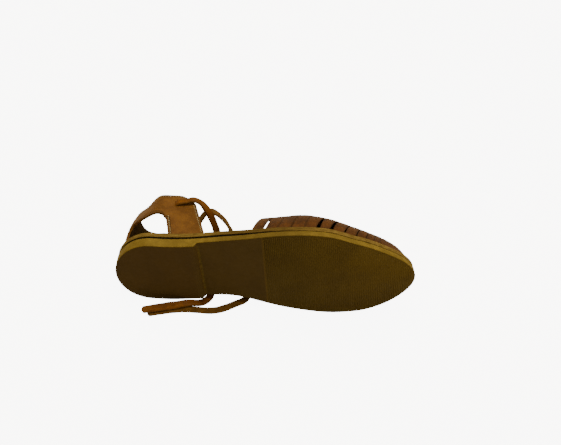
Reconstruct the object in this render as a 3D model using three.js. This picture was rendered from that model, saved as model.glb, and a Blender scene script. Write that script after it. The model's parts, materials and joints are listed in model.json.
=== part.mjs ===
// A woven leather huarache sandal for a right foot, in millimetres.
// Each piece is built in the shoe's own frame: X from the heel to the toe, Y towards the
// medial side, Z up from the plane that the tread stands on. At the end the shoe is laid on
// its medial side, with the sole's edge and the upper both on the floor.
import * as THREE from "three";
import { mergeVertices } from "three/addons/utils/BufferGeometryUtils.js";

// Driving sizes
const clearance = 0.3; // between two pieces that meet
const sole = {
  length: 252,
  ballWidth: 86,
  heelRound: 30, // length of the round end behind
  toeRound: 50,
  toeCurve: 2.2, // above 2 the toe is blunter than an ellipse
  toeRise: 5.5,
  springStart: 0.74, // share of the length where the toe begins to lift
  springCurve: 1.8,
};
const outsole = { thickness: 5.7, edgeBevel: 0.8, edgeRound: 0.5 };
const heelBlock = { length: 68.6, height: 4.3, breastRun: 2.5, skew: 0.085 };
const shank = { start: 73.2, end: 150 };
const groove = {
  heelHeight: 2.4,
  toeHeight: 0.6,
  heelDepth: 1.5,
  toeDepth: 0.7,
  from: 0.36, // the share of the length where it begins to narrow
  to: 0.6,
};
const midsole = { thickness: 4.6, setback: 0.3 };
const insole = { thickness: 2 };
const upper = { ledge: 3 }; // the sole stands this far out past the upper
const vamp = {
  strap: 1.8, // thickness of one strap
  firstStrap: 117, // the rear strap's middle at the sole
  straps: 11, // on each side
  pitch: 11,
  weaveGap: 1.2, // between two straps where they are woven
  lean: 44, // how far a line along a strap would move forward from edge to edge
  height: 46,
  roundness: 2.2,
  toeDrop: 27.5, // length over which the toe piece curves down to the sole
  packFrom: 190, // the straps lie closer together from here to the toe
};
const quarter = {
  wall: 2.2,
  height: 57.6,
  front: 74,
  backLean: 8,
  lateralLean: 1,
  medialLean: 6.5,
  sag: 7.5, // how far the lateral collar, which lies free above, sinks in round the heel's corner
  sagForward: 0.6, // its move forward, in shares of the sag
  sagEnd: 0.58, // share of the run round the heel where the sag has died out
};
const tie = { width: 6.5, thickness: 1.8, corner: 0.4 };

// The sole's outline, at shares of its length, in shares of the ball width
const outlineRows = [
  { at: 0, lateral: 0.378, medial: 0.312 },
  { at: 0.099, lateral: 0.376, medial: 0.316 },
  { at: 0.179, lateral: 0.361, medial: 0.331 },
  { at: 0.262, lateral: 0.366, medial: 0.323 },
  { at: 0.397, lateral: 0.414, medial: 0.322 },
  { at: 0.556, lateral: 0.493, medial: 0.443 },
  { at: 0.694, lateral: 0.477, medial: 0.521 },
  { at: 0.794, lateral: 0.378, medial: 0.517 },
  { at: 0.893, lateral: 0.278, medial: 0.478 },
  { at: 1, lateral: 0.209, medial: 0.419 },
];

// The last's sections over the forefoot: height in shares of the vamp's, and how far the
// ridge lies towards the medial side, in shares of the ball width
const lastRows = [
  { at: 0.44, height: 1.02, ridge: 0.09 },
  { at: 0.51, height: 1.01, ridge: 0.07 },
  { at: 0.556, height: 1.01, ridge: 0.05 },
  { at: 0.6, height: 1, ridge: 0.02 },
  { at: 0.64, height: 0.98, ridge: 0.006 },
  { at: 0.68, height: 0.93, ridge: 0 },
  { at: 0.762, height: 0.85, ridge: 0 },
  { at: 0.845, height: 0.71, ridge: 0 },
  { at: 0.9, height: 0.64, ridge: 0 },
  { at: 1, height: 0.52, ridge: 0 },
];

// The gap in front of each strap where it meets the sole, in shares of the pitch
const footGaps = [0.14, 0.09, 0.09, 0.09, 0.3, 0.3, 0.18, 0.2, 0.12, 0.1];

// The quarter's lines, from the middle of the heel's back to the panel's front edge. Each
// runs straight from foot to top, which are shares of the run round the heel; window is the
// height where its window ends and rim the height of the topline, in shares of the height.
const quarterLines = [
  { foot: 0, top: 0, window: 0.33, rim: 0.97 },
  { foot: 0.09, top: 0.03, window: 0.33, rim: 0.97 },
  { foot: 0.175, top: 0.075, window: 0.36, rim: 0.972, edge: true },
  { foot: 0.21, top: 0.12, window: 0.44, rim: 0.975 },
  { foot: 0.25, top: 0.17, window: 0.47, rim: 0.977 },
  { foot: 0.33, top: 0.25, window: 0.48, rim: 0.98 },
  { foot: 0.42, top: 0.34, window: 0.5, rim: 0.985 },
  { foot: 0.52, top: 0.43, window: 0.542, rim: 0.99 },
  { foot: 0.58, top: 0.475, window: 0.545, rim: 0.995 },
  { foot: 0.625, top: 0.51, window: 0.51, rim: 1 },
  { foot: 0.652, top: 0.536, window: 0.42, rim: 1, edge: true },
  { foot: 0.703, top: 0.625, window: 0.45, rim: 1, slit: true },
  { foot: 0.767, top: 0.689, window: 0.46, rim: 0.997, slit: true },
  { foot: 0.82, top: 0.73, window: 0.46, rim: 0.988 },
  { foot: 0.875, top: 0.765, window: 0.46, rim: 0.957 },
  { foot: 0.925, top: 0.796, window: 0.45, rim: 0.905 },
  { foot: 0.965, top: 0.824, window: 0.43, rim: 0.845 },
  { foot: 1, top: 0.847, window: 0.4, rim: 0.75 },
];
const quarterRadius = sole.heelRound - upper.ledge;
const quarterRun = (Math.PI / 2) * quarterRadius + quarter.front - sole.heelRound;

// Small helpers
const clamp = (v, low = 0, high = 1) => Math.min(high, Math.max(low, v));
const ease = (v) => clamp(v) ** 2 * (3 - 2 * clamp(v));
const mix = (a, b, share) => a + (b - a) * share;
const power = (v, exponent) => Math.sign(v) * Math.abs(v) ** exponent;

// A smooth curve through one column of a table, read at a share of the run
function column(rows, name, at) {
  const last = rows.length - 1;
  const k = clamp(rows.findIndex((row) => row.at > at) - 1, 0, last - 1);
  const from = at >= rows[last].at ? last - 1 : k;
  const [a, b] = [rows[from], rows[from + 1]];
  const slope = (i) => {
    const [before, after] = [rows[Math.max(i - 1, 0)], rows[Math.min(i + 1, last)]];
    return (after[name] - before[name]) / (after.at - before.at);
  };
  const run = b.at - a.at;
  const s = clamp((at - a.at) / run);
  return (
    a[name] * (1 + 2 * s) * (1 - s) ** 2 +
    slope(from) * run * s * (1 - s) ** 2 +
    b[name] * s * s * (3 - 2 * s) +
    slope(from + 1) * run * s * s * (s - 1)
  );
}

// Half of the outline at x, drawn in by an inset: side is -1 on the lateral edge, 1 medial
function edge(x, side, inset) {
  const at = x / sole.length;
  const lateral = column(outlineRows, "lateral", at) * sole.ballWidth;
  const medial = column(outlineRows, "medial", at) * sole.ballWidth;
  const heel = clamp(1 - (x - inset) / (sole.heelRound - inset));
  const toe = clamp(1 - (sole.length - inset - x) / (sole.toeRound - inset));
  const cap = Math.sqrt(1 - heel ** 2) * Math.sqrt(1 - toe ** sole.toeCurve);
  return (medial - lateral) / 2 + side * ((medial + lateral) / 2 - inset) * cap;
}

// Heights along the sole
const spring = (x) => clamp((x / sole.length - sole.springStart) / (1 - sole.springStart));
const toeLift = (x) => sole.toeRise * spring(x) ** sole.springCurve;
const arch = (x) => heelBlock.height * (1 - ease((x - shank.start) / (shank.end - shank.start)));
const sheetUnder = (x) => arch(x) + toeLift(x);
const sheetTop = (x) => sheetUnder(x) + outsole.thickness;
const towardsToe = (x) => ease((x / sole.length - groove.from) / (groove.to - groove.from));
const grooveTop = (x) => sheetTop(x) + mix(groove.heelHeight, groove.toeHeight, towardsToe(x));
const midsoleTop = (x) => grooveTop(x) + clearance + midsole.thickness;

// The tread: flat under the heel block, which ends at a slanting breast
function tread(x, y) {
  const along = x - heelBlock.skew * y;
  return sheetUnder(x) - arch(x) * (1 - clamp((along - heelBlock.length) / heelBlock.breastRun));
}

// Places along the sole, close together at both round ends and at the breast
const stations = (() => {
  const steps = 40;
  const apart = 0.008;
  const turns = Array.from({ length: steps + 1 }, (_, k) => (Math.PI * k) / steps);
  const round = turns.map((turn) => (1 - Math.cos(turn)) / 2);
  const breast = [0, heelBlock.breastRun].map((run) => (heelBlock.length + run) / sole.length);
  const far = round.filter((s) => breast.every((b) => Math.abs(s - b) > apart));
  return [...far, ...breast].sort((a, b) => a - b);
})();

// A layer of the sole: rings of the outline from the lowest up, joined across its width.
// Each ring has an inset and a height, as functions of the place.
function layer(rings) {
  const points = [];
  // The cross lines follow the breast's skew, but not at the two round ends
  const [heelShare, toeShare] = [0.12, 0.3];
  const skewAt = (station) =>
    heelBlock.skew * ease(station / heelShare) * ease((1 - station) / toeShare);
  const count = stations.length;
  for (const ring of rings) {
    for (const side of [-1, 1]) {
      for (const station of stations) {
        const inset = ring.inset(station * sole.length);
        const t = inset + station * (sole.length - 2 * inset);
        let x = t;
        for (let turn = 0; turn < 8; turn += 1) x = t + skewAt(station) * edge(x, side, inset);
        const y = edge(x, side, inset);
        points.push(x, y, ring.height(x, y));
      }
    }
  }
  const at = (ring, side, k) => (ring * 2 + side) * count + k;
  const faces = [];
  const quad = (a, b, c, d) => faces.push(a, b, c, a, c, d);
  for (let k = 0; k < count - 1; k += 1) {
    const top = rings.length - 1;
    quad(at(0, 0, k), at(0, 1, k), at(0, 1, k + 1), at(0, 0, k + 1));
    quad(at(top, 0, k), at(top, 0, k + 1), at(top, 1, k + 1), at(top, 1, k));
    for (let r = 0; r < top; r += 1) {
      quad(at(r, 0, k), at(r, 0, k + 1), at(r + 1, 0, k + 1), at(r + 1, 0, k));
      quad(at(r, 1, k), at(r + 1, 1, k), at(r + 1, 1, k + 1), at(r, 1, k + 1));
    }
  }
  return closed(points, faces);
}

// A geometry from points and triangles, with equal points merged and flat triangles dropped
function closed(points, faces) {
  const raw = new THREE.BufferGeometry();
  raw.setAttribute("position", new THREE.Float32BufferAttribute(points, 3));
  raw.setIndex(faces);
  const merged = mergeVertices(raw, 1e-4);
  const index = merged.index.array;
  const kept = [];
  for (let i = 0; i < index.length; i += 3) {
    const [a, b, c] = index.slice(i, i + 3);
    if (a !== b && b !== c && c !== a) kept.push(a, b, c);
  }
  merged.setIndex(kept);
  merged.computeVertexNormals();
  return merged;
}

// A wall made of six-sided cells: faces that two cells share vanish, the others are its skin
class Wall {
  constructor() {
    this.points = [];
    this.ids = new Map();
    this.faces = new Map();
  }

  id(point) {
    const key = point.toArray().map((v) => Math.round(v * 1e4)).join();
    if (!this.ids.has(key)) {
      this.ids.set(key, this.points.length / 3);
      this.points.push(...point.toArray());
    }
    return this.ids.get(key);
  }

  // outer and inner are the four corners of the cell's two sides, in the same order
  cell(outer, inner) {
    const o = outer.map((p) => this.id(p));
    const n = inner.map((p) => this.id(p));
    const sides = [0, 1, 2, 3].map((k) => [o[k], n[k], n[(k + 1) % 4], o[(k + 1) % 4]]);
    for (const loop of [o, [...n].reverse(), ...sides]) {
      const corners = loop.filter((v, k) => v !== loop[(k + 1) % loop.length]);
      if (new Set(corners).size < 3) continue;
      const key = [...corners].sort((a, b) => a - b).join();
      if (!this.faces.delete(key)) this.faces.set(key, corners);
    }
  }

  geometry() {
    const triangles = [];
    for (const c of this.faces.values()) {
      for (let k = 1; k < c.length - 1; k += 1) triangles.push(c[0], c[k], c[k + 1]);
    }
    return closed(this.points, triangles);
  }
}

// A point offset along the normal of a surface, which is a function of two coordinates
function offset(surface, a, b, stepA, stepB, distance) {
  const alongA = surface(a + stepA, b).sub(surface(a - stepA, b));
  const alongB = surface(a, b + stepB).sub(surface(a, b - stepB));
  const normal = alongB.cross(alongA).normalize();
  return surface(a, b).addScaledVector(normal, distance);
}

// The vamp's middle surface: x along the foot, across from 0, lateral, to 1, medial
const vampInset = upper.ledge + vamp.strap / 2;
const vampTip = sole.length - vampInset;
function vampSurface(x, across) {
  const place = Math.min(x, vampTip);
  const lateral = edge(place, -1, vampInset);
  const medial = edge(place, 1, vampInset);
  const angle = Math.PI * (1 - clamp(across));
  const toe = clamp(1 - (vampTip - place) / vamp.toeDrop);
  const ridgeHeight = column(lastRows, "height", place / sole.length) * vamp.height;
  const height = ridgeHeight * Math.sqrt(1 - toe ** sole.toeCurve);
  const ridge = column(lastRows, "ridge", place / sole.length) * sole.ballWidth;
  const rise = power(Math.sin(angle), 2 / vamp.roundness);
  const reach = power(Math.cos(angle), 2 / vamp.roundness);
  return new THREE.Vector3(
    place,
    (lateral + medial) / 2 + ((medial - lateral) / 2) * reach + ridge * rise,
    midsoleTop(place) + clearance + height * rise,
  );
}

// The same point moved off that surface: a level above 0 is outside it, one below 0 inside
function vampPoint(x, across, level) {
  if (level === 0) return vampSurface(x, across);
  if (x >= vampTip - 1e-6) return vampSurface(x, 0.5).add(new THREE.Vector3(level, 0, 0));
  const near = Math.min(x, vampTip - 0.3);
  const inward = clamp(across, 0.002, 0.998);
  // offset() takes its two directions in the order that points into the shoe here
  const shifted = offset(vampSurface, near, inward, 0.2, 0.002, -level);
  return shifted.sub(vampSurface(near, inward)).add(vampSurface(x, across));
}

// Strap places: a strap keeps its own number, which turns into x closer and closer to the toe
const packed = (t) => {
  const room = vampTip - vamp.packFrom;
  return t < vamp.packFrom ? t : vamp.packFrom + room * (1 - Math.exp((vamp.packFrom - t) / room));
};
const strapMiddle = (k) => vamp.firstStrap + vamp.pitch * k;
const strapEdge = (k, e) => strapMiddle(k) + (e * (vamp.pitch - vamp.weaveGap)) / 2;

// One strap's cross lines, from the sole to its far end. own is its number and from which
// side it comes (-1 lateral, 1 medial); each line has three points and the wall's two faces.
function strapLines(own, side) {
  const others = [own - 1, own, own + 1].filter((k) => k >= 0 && k < vamp.straps);
  const acrossAt = (e, other) => 0.5 + (other - strapEdge(own, e)) / (2 * vamp.lean);
  const lines = [];
  const first = strapEdge(others[0], -1);
  const rearGap = (footGaps[own - 1] ?? footGaps[0]) * vamp.pitch;
  const frontGap = (footGaps[own] ?? footGaps.at(-1)) * vamp.pitch;
  const [rearEdge, frontEdge] = [(rearGap - vamp.pitch) / 2, (vamp.pitch - frontGap) / 2];
  const footEdge = [rearEdge, (rearEdge + frontEdge) / 2, frontEdge];
  const half = vamp.strap / 2;
  for (const share of [0, 0.14, 0.3, 0.48, 0.66, 0.84]) {
    const points = [-1, 0, 1].map((e) => {
      const across = share * acrossAt(e, first);
      const place = mix(strapMiddle(own) + footEdge[e + 1], strapEdge(own, e), share);
      return { t: place + vamp.lean * across, across };
    });
    lines.push({ points, low: -half, high: half });
  }
  for (const other of others) {
    const over = side * (((own + other) % 2) * 2 - 1) > 0;
    for (const f of [-1, 0, 1]) {
      const q = strapEdge(other, f);
      const points = [-1, 0, 1].map((e) => {
        const across = acrossAt(e, q);
        return { t: strapEdge(own, e) + vamp.lean * across, across };
      });
      const [low, high] = over ? [0, vamp.strap] : [-vamp.strap, 0];
      lines.push({ points, low, high, cross: f });
    }
  }
  return lines;
}

function buildVamp() {
  const wall = new Wall();
  // Two stacked cells, from the low face to the middle and from there to the high face
  const block = (corners, lows, highs) => {
    const at = (levels) => corners.map((c, k) => vampPoint(c.x, c.across, levels[k]));
    const zero = [0, 0, 0, 0];
    const [a, b, c, d] = corners;
    const turn = (c.x - a.x) * (d.across - b.across) - (d.x - b.x) * (c.across - a.across);
    const order = (list) => (turn > 0 ? list : [...list].reverse());
    if (highs.some((v) => v > 0)) wall.cell(order(at(highs)), order(at(zero)));
    if (lows.some((v) => v < 0)) wall.cell(order(at(zero)), order(at(lows)));
  };
  const place = (point, side) => ({
    x: packed(point.t),
    across: side < 0 ? point.across : 1 - point.across,
  });
  const toeEdge = [];
  for (const side of [-1, 1]) {
    for (let own = 0; own < vamp.straps; own += 1) {
      const lines = strapLines(own, side);
      const last = own === vamp.straps - 1;
      for (let k = 0; k < lines.length - 1; k += 1) {
        const [a, b] = [lines[k], lines[k + 1]];
        const crossing = a.cross !== undefined && b.cross !== undefined && a.cross < b.cross;
        const full = last && !crossing;
        const thick = { low: -vamp.strap, high: vamp.strap };
        const face = (line, name) => (full && line.cross !== undefined ? thick[name] : line[name]);
        for (const e of [0, 1]) {
          const ends = [a.points[e], a.points[e + 1], b.points[e + 1], b.points[e]];
          const corners = ends.map((point) => place(point, side));
          const levels = (name) => [face(a, name), face(a, name), face(b, name), face(b, name)];
          block(corners, levels("low"), levels("high"));
        }
      }
      if (last) {
        toeEdge.push(
          lines.map((line) => ({
            ...place(line.points[2], side),
            low: line.cross === undefined ? line.low : -vamp.strap,
            high: line.cross === undefined ? line.high : vamp.strap,
          })),
        );
      }
    }
  }
  // The closed toe, from the two front straps to the tip of the last
  const rim = [...toeEdge[0], ...toeEdge[1].reverse().slice(1)];
  const shares = [0, 0.22, 0.44, 0.64, 0.8, 0.92, 0.98, 1];
  const half = vamp.strap / 2;
  for (let m = 0; m < rim.length - 1; m += 1) {
    for (let r = 0; r < shares.length - 1; r += 1) {
      const corner = (i, row) => ({ ...rim[i], x: mix(rim[i].x, vampTip, shares[row]) });
      const corners = [corner(m, r), corner(m, r + 1), corner(m + 1, r + 1), corner(m + 1, r)];
      const rows = [r, r + 1, r + 1, r];
      block(
        corners,
        corners.map((c, k) => (rows[k] === 0 ? c.low : -half)),
        corners.map((c, k) => (rows[k] === 0 ? c.high : half)),
      );
    }
  }
  return wall.geometry();
}

// The quarter's outer face: around is the way along the heel's outline from the middle of
// its back, lateral below 0, and height is measured from the midsole's top
function quarterSurface(around, height) {
  const side = around < 0 ? -1 : 1;
  const angle = Math.abs(around) / quarterRadius;
  const quarterTurn = Math.PI / 2;
  const turned = Math.min(angle, quarterTurn);
  const x = upper.ledge + quarterRadius * (1 - Math.cos(turned) + Math.max(0, angle - quarterTurn));
  const lean = clamp(height / quarter.height);
  const back = quarter.backLean * lean ** 3 * Math.cos(turned) ** 2;
  const sideLean = side < 0 ? quarter.lateralLean : quarter.medialLean;
  const inward = sideLean * lean ** 2 * Math.sin(turned);
  const toSagEnd = clamp(Math.abs(around) / (quarter.sagEnd * quarterRun));
  const sag = side < 0 ? quarter.sag * lean ** 2 * Math.sin(Math.PI * toSagEnd) ** 2 : 0;
  const middle = (edge(sole.heelRound, -1, 0) + edge(sole.heelRound, 1, 0)) / 2;
  const flat = Math.max(x, sole.heelRound);
  const reach = Math.abs(edge(flat, side, upper.ledge) - middle) * Math.sin(turned);
  return new THREE.Vector3(
    x + back + sag * quarter.sagForward,
    middle + side * (reach - inward - sag),
    midsoleTop(x) + clearance + height,
  );
}

function buildQuarter() {
  const wall = new Wall();
  const feet = [0, 0.25, 0.5, 0.75];
  const tops = [0, 0.25, 0.455, 0.7, 0.86, 1];
  const sided = (list, side) => list.map((line) => ({ ...line, side }));
  const lines = [...sided(quarterLines.slice(1), -1).reverse(), ...sided(quarterLines, 1)];
  const spot = (line, row) => {
    const low = row < feet.length;
    const share = low ? feet[row] : tops[row - feet.length];
    const height = (low ? line.window * share : mix(line.window, line.rim, share)) * quarter.height;
    const around = mix(line.foot, line.top, height / quarter.height) * quarterRun * line.side;
    return { around, height };
  };
  const step = 0.05; // along and up, to find the surface's normal
  const point = (at, level) => offset(quarterSurface, at.around, at.height, step, step, level);
  const rowCount = feet.length + tops.length - 1;
  const slitRow = feet.length + 2; // the row of cells that the slit takes
  const [windowBack, windowFront] = quarterLines.filter((line) => line.edge);
  const inWindow = ({ foot }) => foot >= windowBack.foot && foot <= windowFront.foot;
  for (let k = 0; k < lines.length - 1; k += 1) {
    const pair = [lines[k], lines[k + 1]];
    const isSlit = pair.every((line) => line.slit);
    for (let row = 0; row < rowCount; row += 1) {
      if (row < feet.length && pair.every(inWindow)) continue;
      if (isSlit && pair[0].side < 0 && row === slitRow) continue;
      const [back, ahead] = [row, row + 1].map((r) => [spot(pair[0], r), spot(pair[1], r)]);
      const corners = [back[1], back[0], ahead[0], ahead[1]];
      wall.cell(corners.map((c) => point(c, 0)), corners.map((c) => point(c, -quarter.wall)));
    }
  }
  return wall.geometry();
}

// The meshes, each with its own finish
function piece(name, geometry, color, roughness) {
  const finish = new THREE.MeshStandardMaterial({ color, roughness, metalness: 0 });
  const mesh = new THREE.Mesh(geometry, finish);
  mesh.name = name;
  return mesh;
}

const grooveInset = (x) => mix(groove.heelDepth, groove.toeDepth, towardsToe(x));
const shoe = new THREE.Group();
shoe.add(
  piece(
    "outsole",
    layer([
      { inset: () => outsole.edgeBevel, height: tread },
      { inset: () => 0, height: (x, y) => tread(x, y) + outsole.edgeBevel },
      { inset: () => 0, height: (x) => sheetTop(x) - outsole.edgeRound },
      { inset: () => outsole.edgeRound, height: sheetTop },
      { inset: grooveInset, height: sheetTop },
      { inset: grooveInset, height: grooveTop },
    ]),
    "#6a541c",
    0.6,
  ),
  piece(
    "midsole",
    layer([
      { inset: () => midsole.setback, height: (x) => grooveTop(x) + clearance },
      { inset: () => midsole.setback, height: midsoleTop },
    ]),
    "#947d3c",
    0.85,
  ),
);
const insoleInset = upper.ledge + Math.max(quarter.wall, vamp.strap) + 2 * clearance;
shoe.add(
  piece(
    "insole",
    layer([
      { inset: () => insoleInset, height: (x) => midsoleTop(x) + clearance },
      { inset: () => insoleInset, height: (x) => midsoleTop(x) + clearance + insole.thickness },
    ]),
    "#a0743c",
    0.8,
  ),
  piece("vamp", buildVamp(), "#613c12", 0.7),
  piece("quarter", buildQuarter(), "#724916", 0.7),
);

// Lay the shoe on its medial side: turn it until heel and ball both reach the floor, and
// tilt it until the upper does too
function layOnSide(group) {
  const points = (names) =>
    names.flatMap((name) => {
      const places = group.getObjectByName(name).geometry.attributes.position;
      const numbers = [...Array(places.count).keys()];
      return numbers.map((k) => new THREE.Vector3().fromBufferAttribute(places, k));
    });
  const under = points(["outsole", "midsole"]);
  const over = points(["vamp", "quarter"]);
  const waist = 0.4 * sole.length;
  const heel = under.filter((p) => p.x < waist);
  const ball = under.filter((p) => p.x >= waist);
  const reach = (list, turn, tilt) =>
    list.reduce((most, p) => {
      const side = p.x * Math.sin(-turn) + p.y * Math.cos(turn);
      return Math.max(most, side * Math.cos(tilt) + p.z * Math.sin(tilt));
    }, -Infinity);
  const solve = (low, high, tooSmall) => {
    for (let k = 0; k < 40; k += 1) {
      const middle = (low + high) / 2;
      if (tooSmall(middle)) low = middle;
      else high = middle;
    }
    return high;
  };
  let [turn, tilt] = [0, 0];
  for (let round = 0; round < 8; round += 1) {
    turn = solve(0, 0.4, (v) => reach(ball, v, tilt) > reach(heel, v, tilt));
    tilt = solve(0, 0.7, (v) => reach(over, turn, v) < reach(under, turn, v));
  }
  group.rotation.set(-(Math.PI / 2 + tilt), 0, -turn);
  group.updateMatrixWorld(true);
  const box = new THREE.Box3().setFromObject(group, true);
  const middle = box.getCenter(new THREE.Vector3());
  group.position.set(-middle.x, -middle.y, -box.min.z);
}
layOnSide(shoe);

// The two leather ties. Each route is a list of places with the way that the grain side
// faces: first in the shoe's frame, from the inside of the quarter through the opening, and
// then in the floor's frame, under the waist of the sole and along the floor.
const tieRoutes = {
  tie_lateral: {
    onShoe: [
      [36, -24.4, 61.9, 0, -1, 0],
      [40, -24.2, 61.9, 0, -1, 0],
      [43.6, -24.3, 61.9, 0, -1, 0],
      [46.1, -26.6, 61.9, 0, -1, 0],
      [48.6, -28.9, 62, 0, -1, 0],
      [52, -29.6, 62.1, 0, -1, 0],
      [57, -30.4, 62.4, 0, -1, 0],
      [62, -31, 63, 0.1, -1, 0],
      [67.5, -28, 63.4, 0.5, -0.85, -0.1],
      [72, -21.5, 63.8, 0.6, -0.6, -0.5],
      [75.6, -14, 63.5, 0.5, -0.3, -0.8],
      [78.5, -7, 61.5, 0.2, -0.2, -0.95],
      [81, 1, 59, 0, -0.1, -1],
    ],
    onFloor: [
      [-42.8, 16.5, 17, 0, -1, 0.1],
      [-42, 10.5, 8.5, 0, -0.8, 0.6],
      [-42, 4, 3, 0, -0.4, 0.9],
      [-42.5, -4, 1.1, 0, 0, 1],
      [-43.5, -14, 1, 0, 0, 1],
      [-44.5, -24, 1, 0, 0, 1],
      [-46, -33, 1, 0, 0, 1],
      [-49.7, -38.3, 1, 0, 0, 1],
      [-54.5, -41.3, 1.6, 0, 0, 1],
      [-60.5, -43.2, 3.6, 0, -0.1, 1],
      [-67, -45.2, 4.7, 0, -0.35, 0.94],
      [-75, -48, 5, 0, -0.55, 0.83],
      [-84, -50.4, 4.8, 0, -0.57, 0.82],
      [-93, -53, 4.8, 0, -0.57, 0.82],
      [-102.3, -55.8, 4.8, 0, -0.57, 0.82],
    ],
  },
  tie_medial: {
    onShoe: [
      [40, 17.6, 61.5, 0, 0.98, 0.17],
      [46, 17.4, 61.7, 0, 0.98, 0.17],
      [52, 16.6, 62.3, 0, 0.98, 0.17],
      [57, 13.5, 64.5, 0.25, 0.93, 0.25],
      [61.5, 7.5, 69, 0.5, 0.8, 0.2],
      [66, -0.5, 73.5, 0.55, 0.8, 0.2],
      [71, -7, 75, 0.3, 0.93, 0.2],
      [76, -9.8, 74, 0, 1, 0.1],
      [80.5, -9, 72, -0.25, 0.95, 0],
      [85, -5.8, 70.5, -0.5, 0.85, 0],
      [89, -1, 69.5, -0.8, 0.6, 0],
      [92, 4.5, 68, -0.95, 0.3, 0],
    ],
    onFloor: [
      [-31.6, 28, 17.5, -0.7, 0.7, 0],
      [-29.5, 22.5, 10, -0.3, 0.9, -0.3],
      [-27.3, 14.5, 4.2, 0, 0.5, -0.85],
      [-25, 6, 1.4, 0, 0, -1],
      [-22, -4, 1, 0, 0, -1],
      [-18.5, -14, 1, 0, 0, -1],
      [-15, -23, 1, 0, 0, -1],
      [-14, -29.5, 1, 0, 0, -1],
      [-16, -34, 1, 0, 0, -1],
      [-23.7, -39, 1, 0, 0, -1],
      [-31.3, -43.6, 1, 0, 0, -1],
      [-38.7, -47, 1, 0, 0, -1],
      [-46.5, -48.5, 1, 0, 0, -1],
      [-54, -48.5, 1, 0, 0, -1],
      [-61.4, -48.4, 1, 0, 0, -1],
      [-69, -48.8, 1, 0, 0, -1],
      [-78.5, -50.8, 1, 0, 0, -1],
      [-88.3, -53.4, 1, 0, 0, -1],
      [-97.5, -55.9, 1, 0, 0, -1],
    ],
  },
};

// A flat strap along a route, twisted so that its grain side faces as the route says
function buildTie(route) {
  const facing = (row) => new THREE.Vector3(...row.slice(3));
  const places = [
    ...route.onShoe.map((row) => new THREE.Vector3(...row).applyMatrix4(shoe.matrixWorld)),
    ...route.onFloor.map((row) => new THREE.Vector3(...row)),
  ];
  const faces = [
    ...route.onShoe.map((row) => facing(row).transformDirection(shoe.matrixWorld)),
    ...route.onFloor.map((row) => facing(row).normalize()),
  ];
  const curve = new THREE.CatmullRomCurve3(places, false, "centripetal");
  const [w, t, c] = [tie.width / 2, tie.thickness / 2, tie.corner];
  const half = [[-w, c - t], [c - w, -t], [w - c, -t], [w, c - t]];
  const section = [...half, ...half.map(([a, b]) => [-a, -b])];
  const steps = 2 * (places.length - 1);
  const points = [];
  for (let k = 0; k <= steps; k += 1) {
    const at = k / 2;
    const from = Math.floor(at);
    const face = faces[from].clone().lerp(faces[Math.min(from + 1, faces.length - 1)], at - from);
    const along = curve.getTangent(k / steps);
    const across = along.clone().cross(face).normalize();
    face.copy(across).cross(along);
    const middle = curve.getPoint(k / steps);
    for (const [a, b] of section) {
      points.push(...middle.clone().addScaledVector(across, a).addScaledVector(face, b).toArray());
    }
  }
  const n = section.length;
  const triangles = [];
  for (let k = 0; k < steps; k += 1) {
    for (let e = 0; e < n; e += 1) {
      const [a, b] = [k * n + e, k * n + ((e + 1) % n)];
      triangles.push(a, b + n, b, a, a + n, b + n);
    }
  }
  const end = steps * n;
  for (let e = 1; e < n - 1; e += 1) triangles.push(0, e, e + 1, end, end + e + 1, end + e);
  return closed(points, triangles);
}

const root = new THREE.Group();
root.add(shoe);
shoe.updateMatrixWorld(true);
for (const [name, route] of Object.entries(tieRoutes)) {
  root.add(piece(name, buildTie(route), "#633a0e", 0.75));
}

export default root;
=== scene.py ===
# %% [markdown]
# # A woven leather sandal, lying on its side
# The sandal is a flat huarache for a right foot. Its vamp is a weave of leather straps,
# its quarter is one cut panel round the heel, and two thin ties hang from that panel.
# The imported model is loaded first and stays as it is: each piece made below takes the
# place of one of its solids and adds the finish that a hand can feel.

# %% Load the fixed frame
import json
import math

import bpy
import numpy as np
from mathutils import Matrix


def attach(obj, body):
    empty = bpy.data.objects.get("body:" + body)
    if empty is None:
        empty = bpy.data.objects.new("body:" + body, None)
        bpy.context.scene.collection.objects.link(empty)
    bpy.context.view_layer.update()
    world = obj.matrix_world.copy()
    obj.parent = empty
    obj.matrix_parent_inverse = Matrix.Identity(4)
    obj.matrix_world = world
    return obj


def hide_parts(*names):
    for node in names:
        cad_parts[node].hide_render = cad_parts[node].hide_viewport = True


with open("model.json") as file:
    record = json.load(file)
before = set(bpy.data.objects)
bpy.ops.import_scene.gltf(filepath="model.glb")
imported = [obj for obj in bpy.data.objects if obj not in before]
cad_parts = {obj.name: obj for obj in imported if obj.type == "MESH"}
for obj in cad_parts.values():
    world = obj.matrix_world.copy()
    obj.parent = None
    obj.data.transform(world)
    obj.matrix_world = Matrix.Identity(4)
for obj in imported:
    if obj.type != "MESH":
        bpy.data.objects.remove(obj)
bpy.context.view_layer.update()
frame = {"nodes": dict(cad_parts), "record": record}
print("nodes:", ", ".join(sorted(frame["nodes"])))

# %% [markdown]
# A shoe is easiest to draw standing up: X from the heel to the toe, Y to the medial side
# and Z up from the ground, in millimetres. The sandal lies on its side, so each point is
# turned onto the floor at the end. The two flat spots of the tread, which the record
# names, say where the shoe's own axes have gone.

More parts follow.
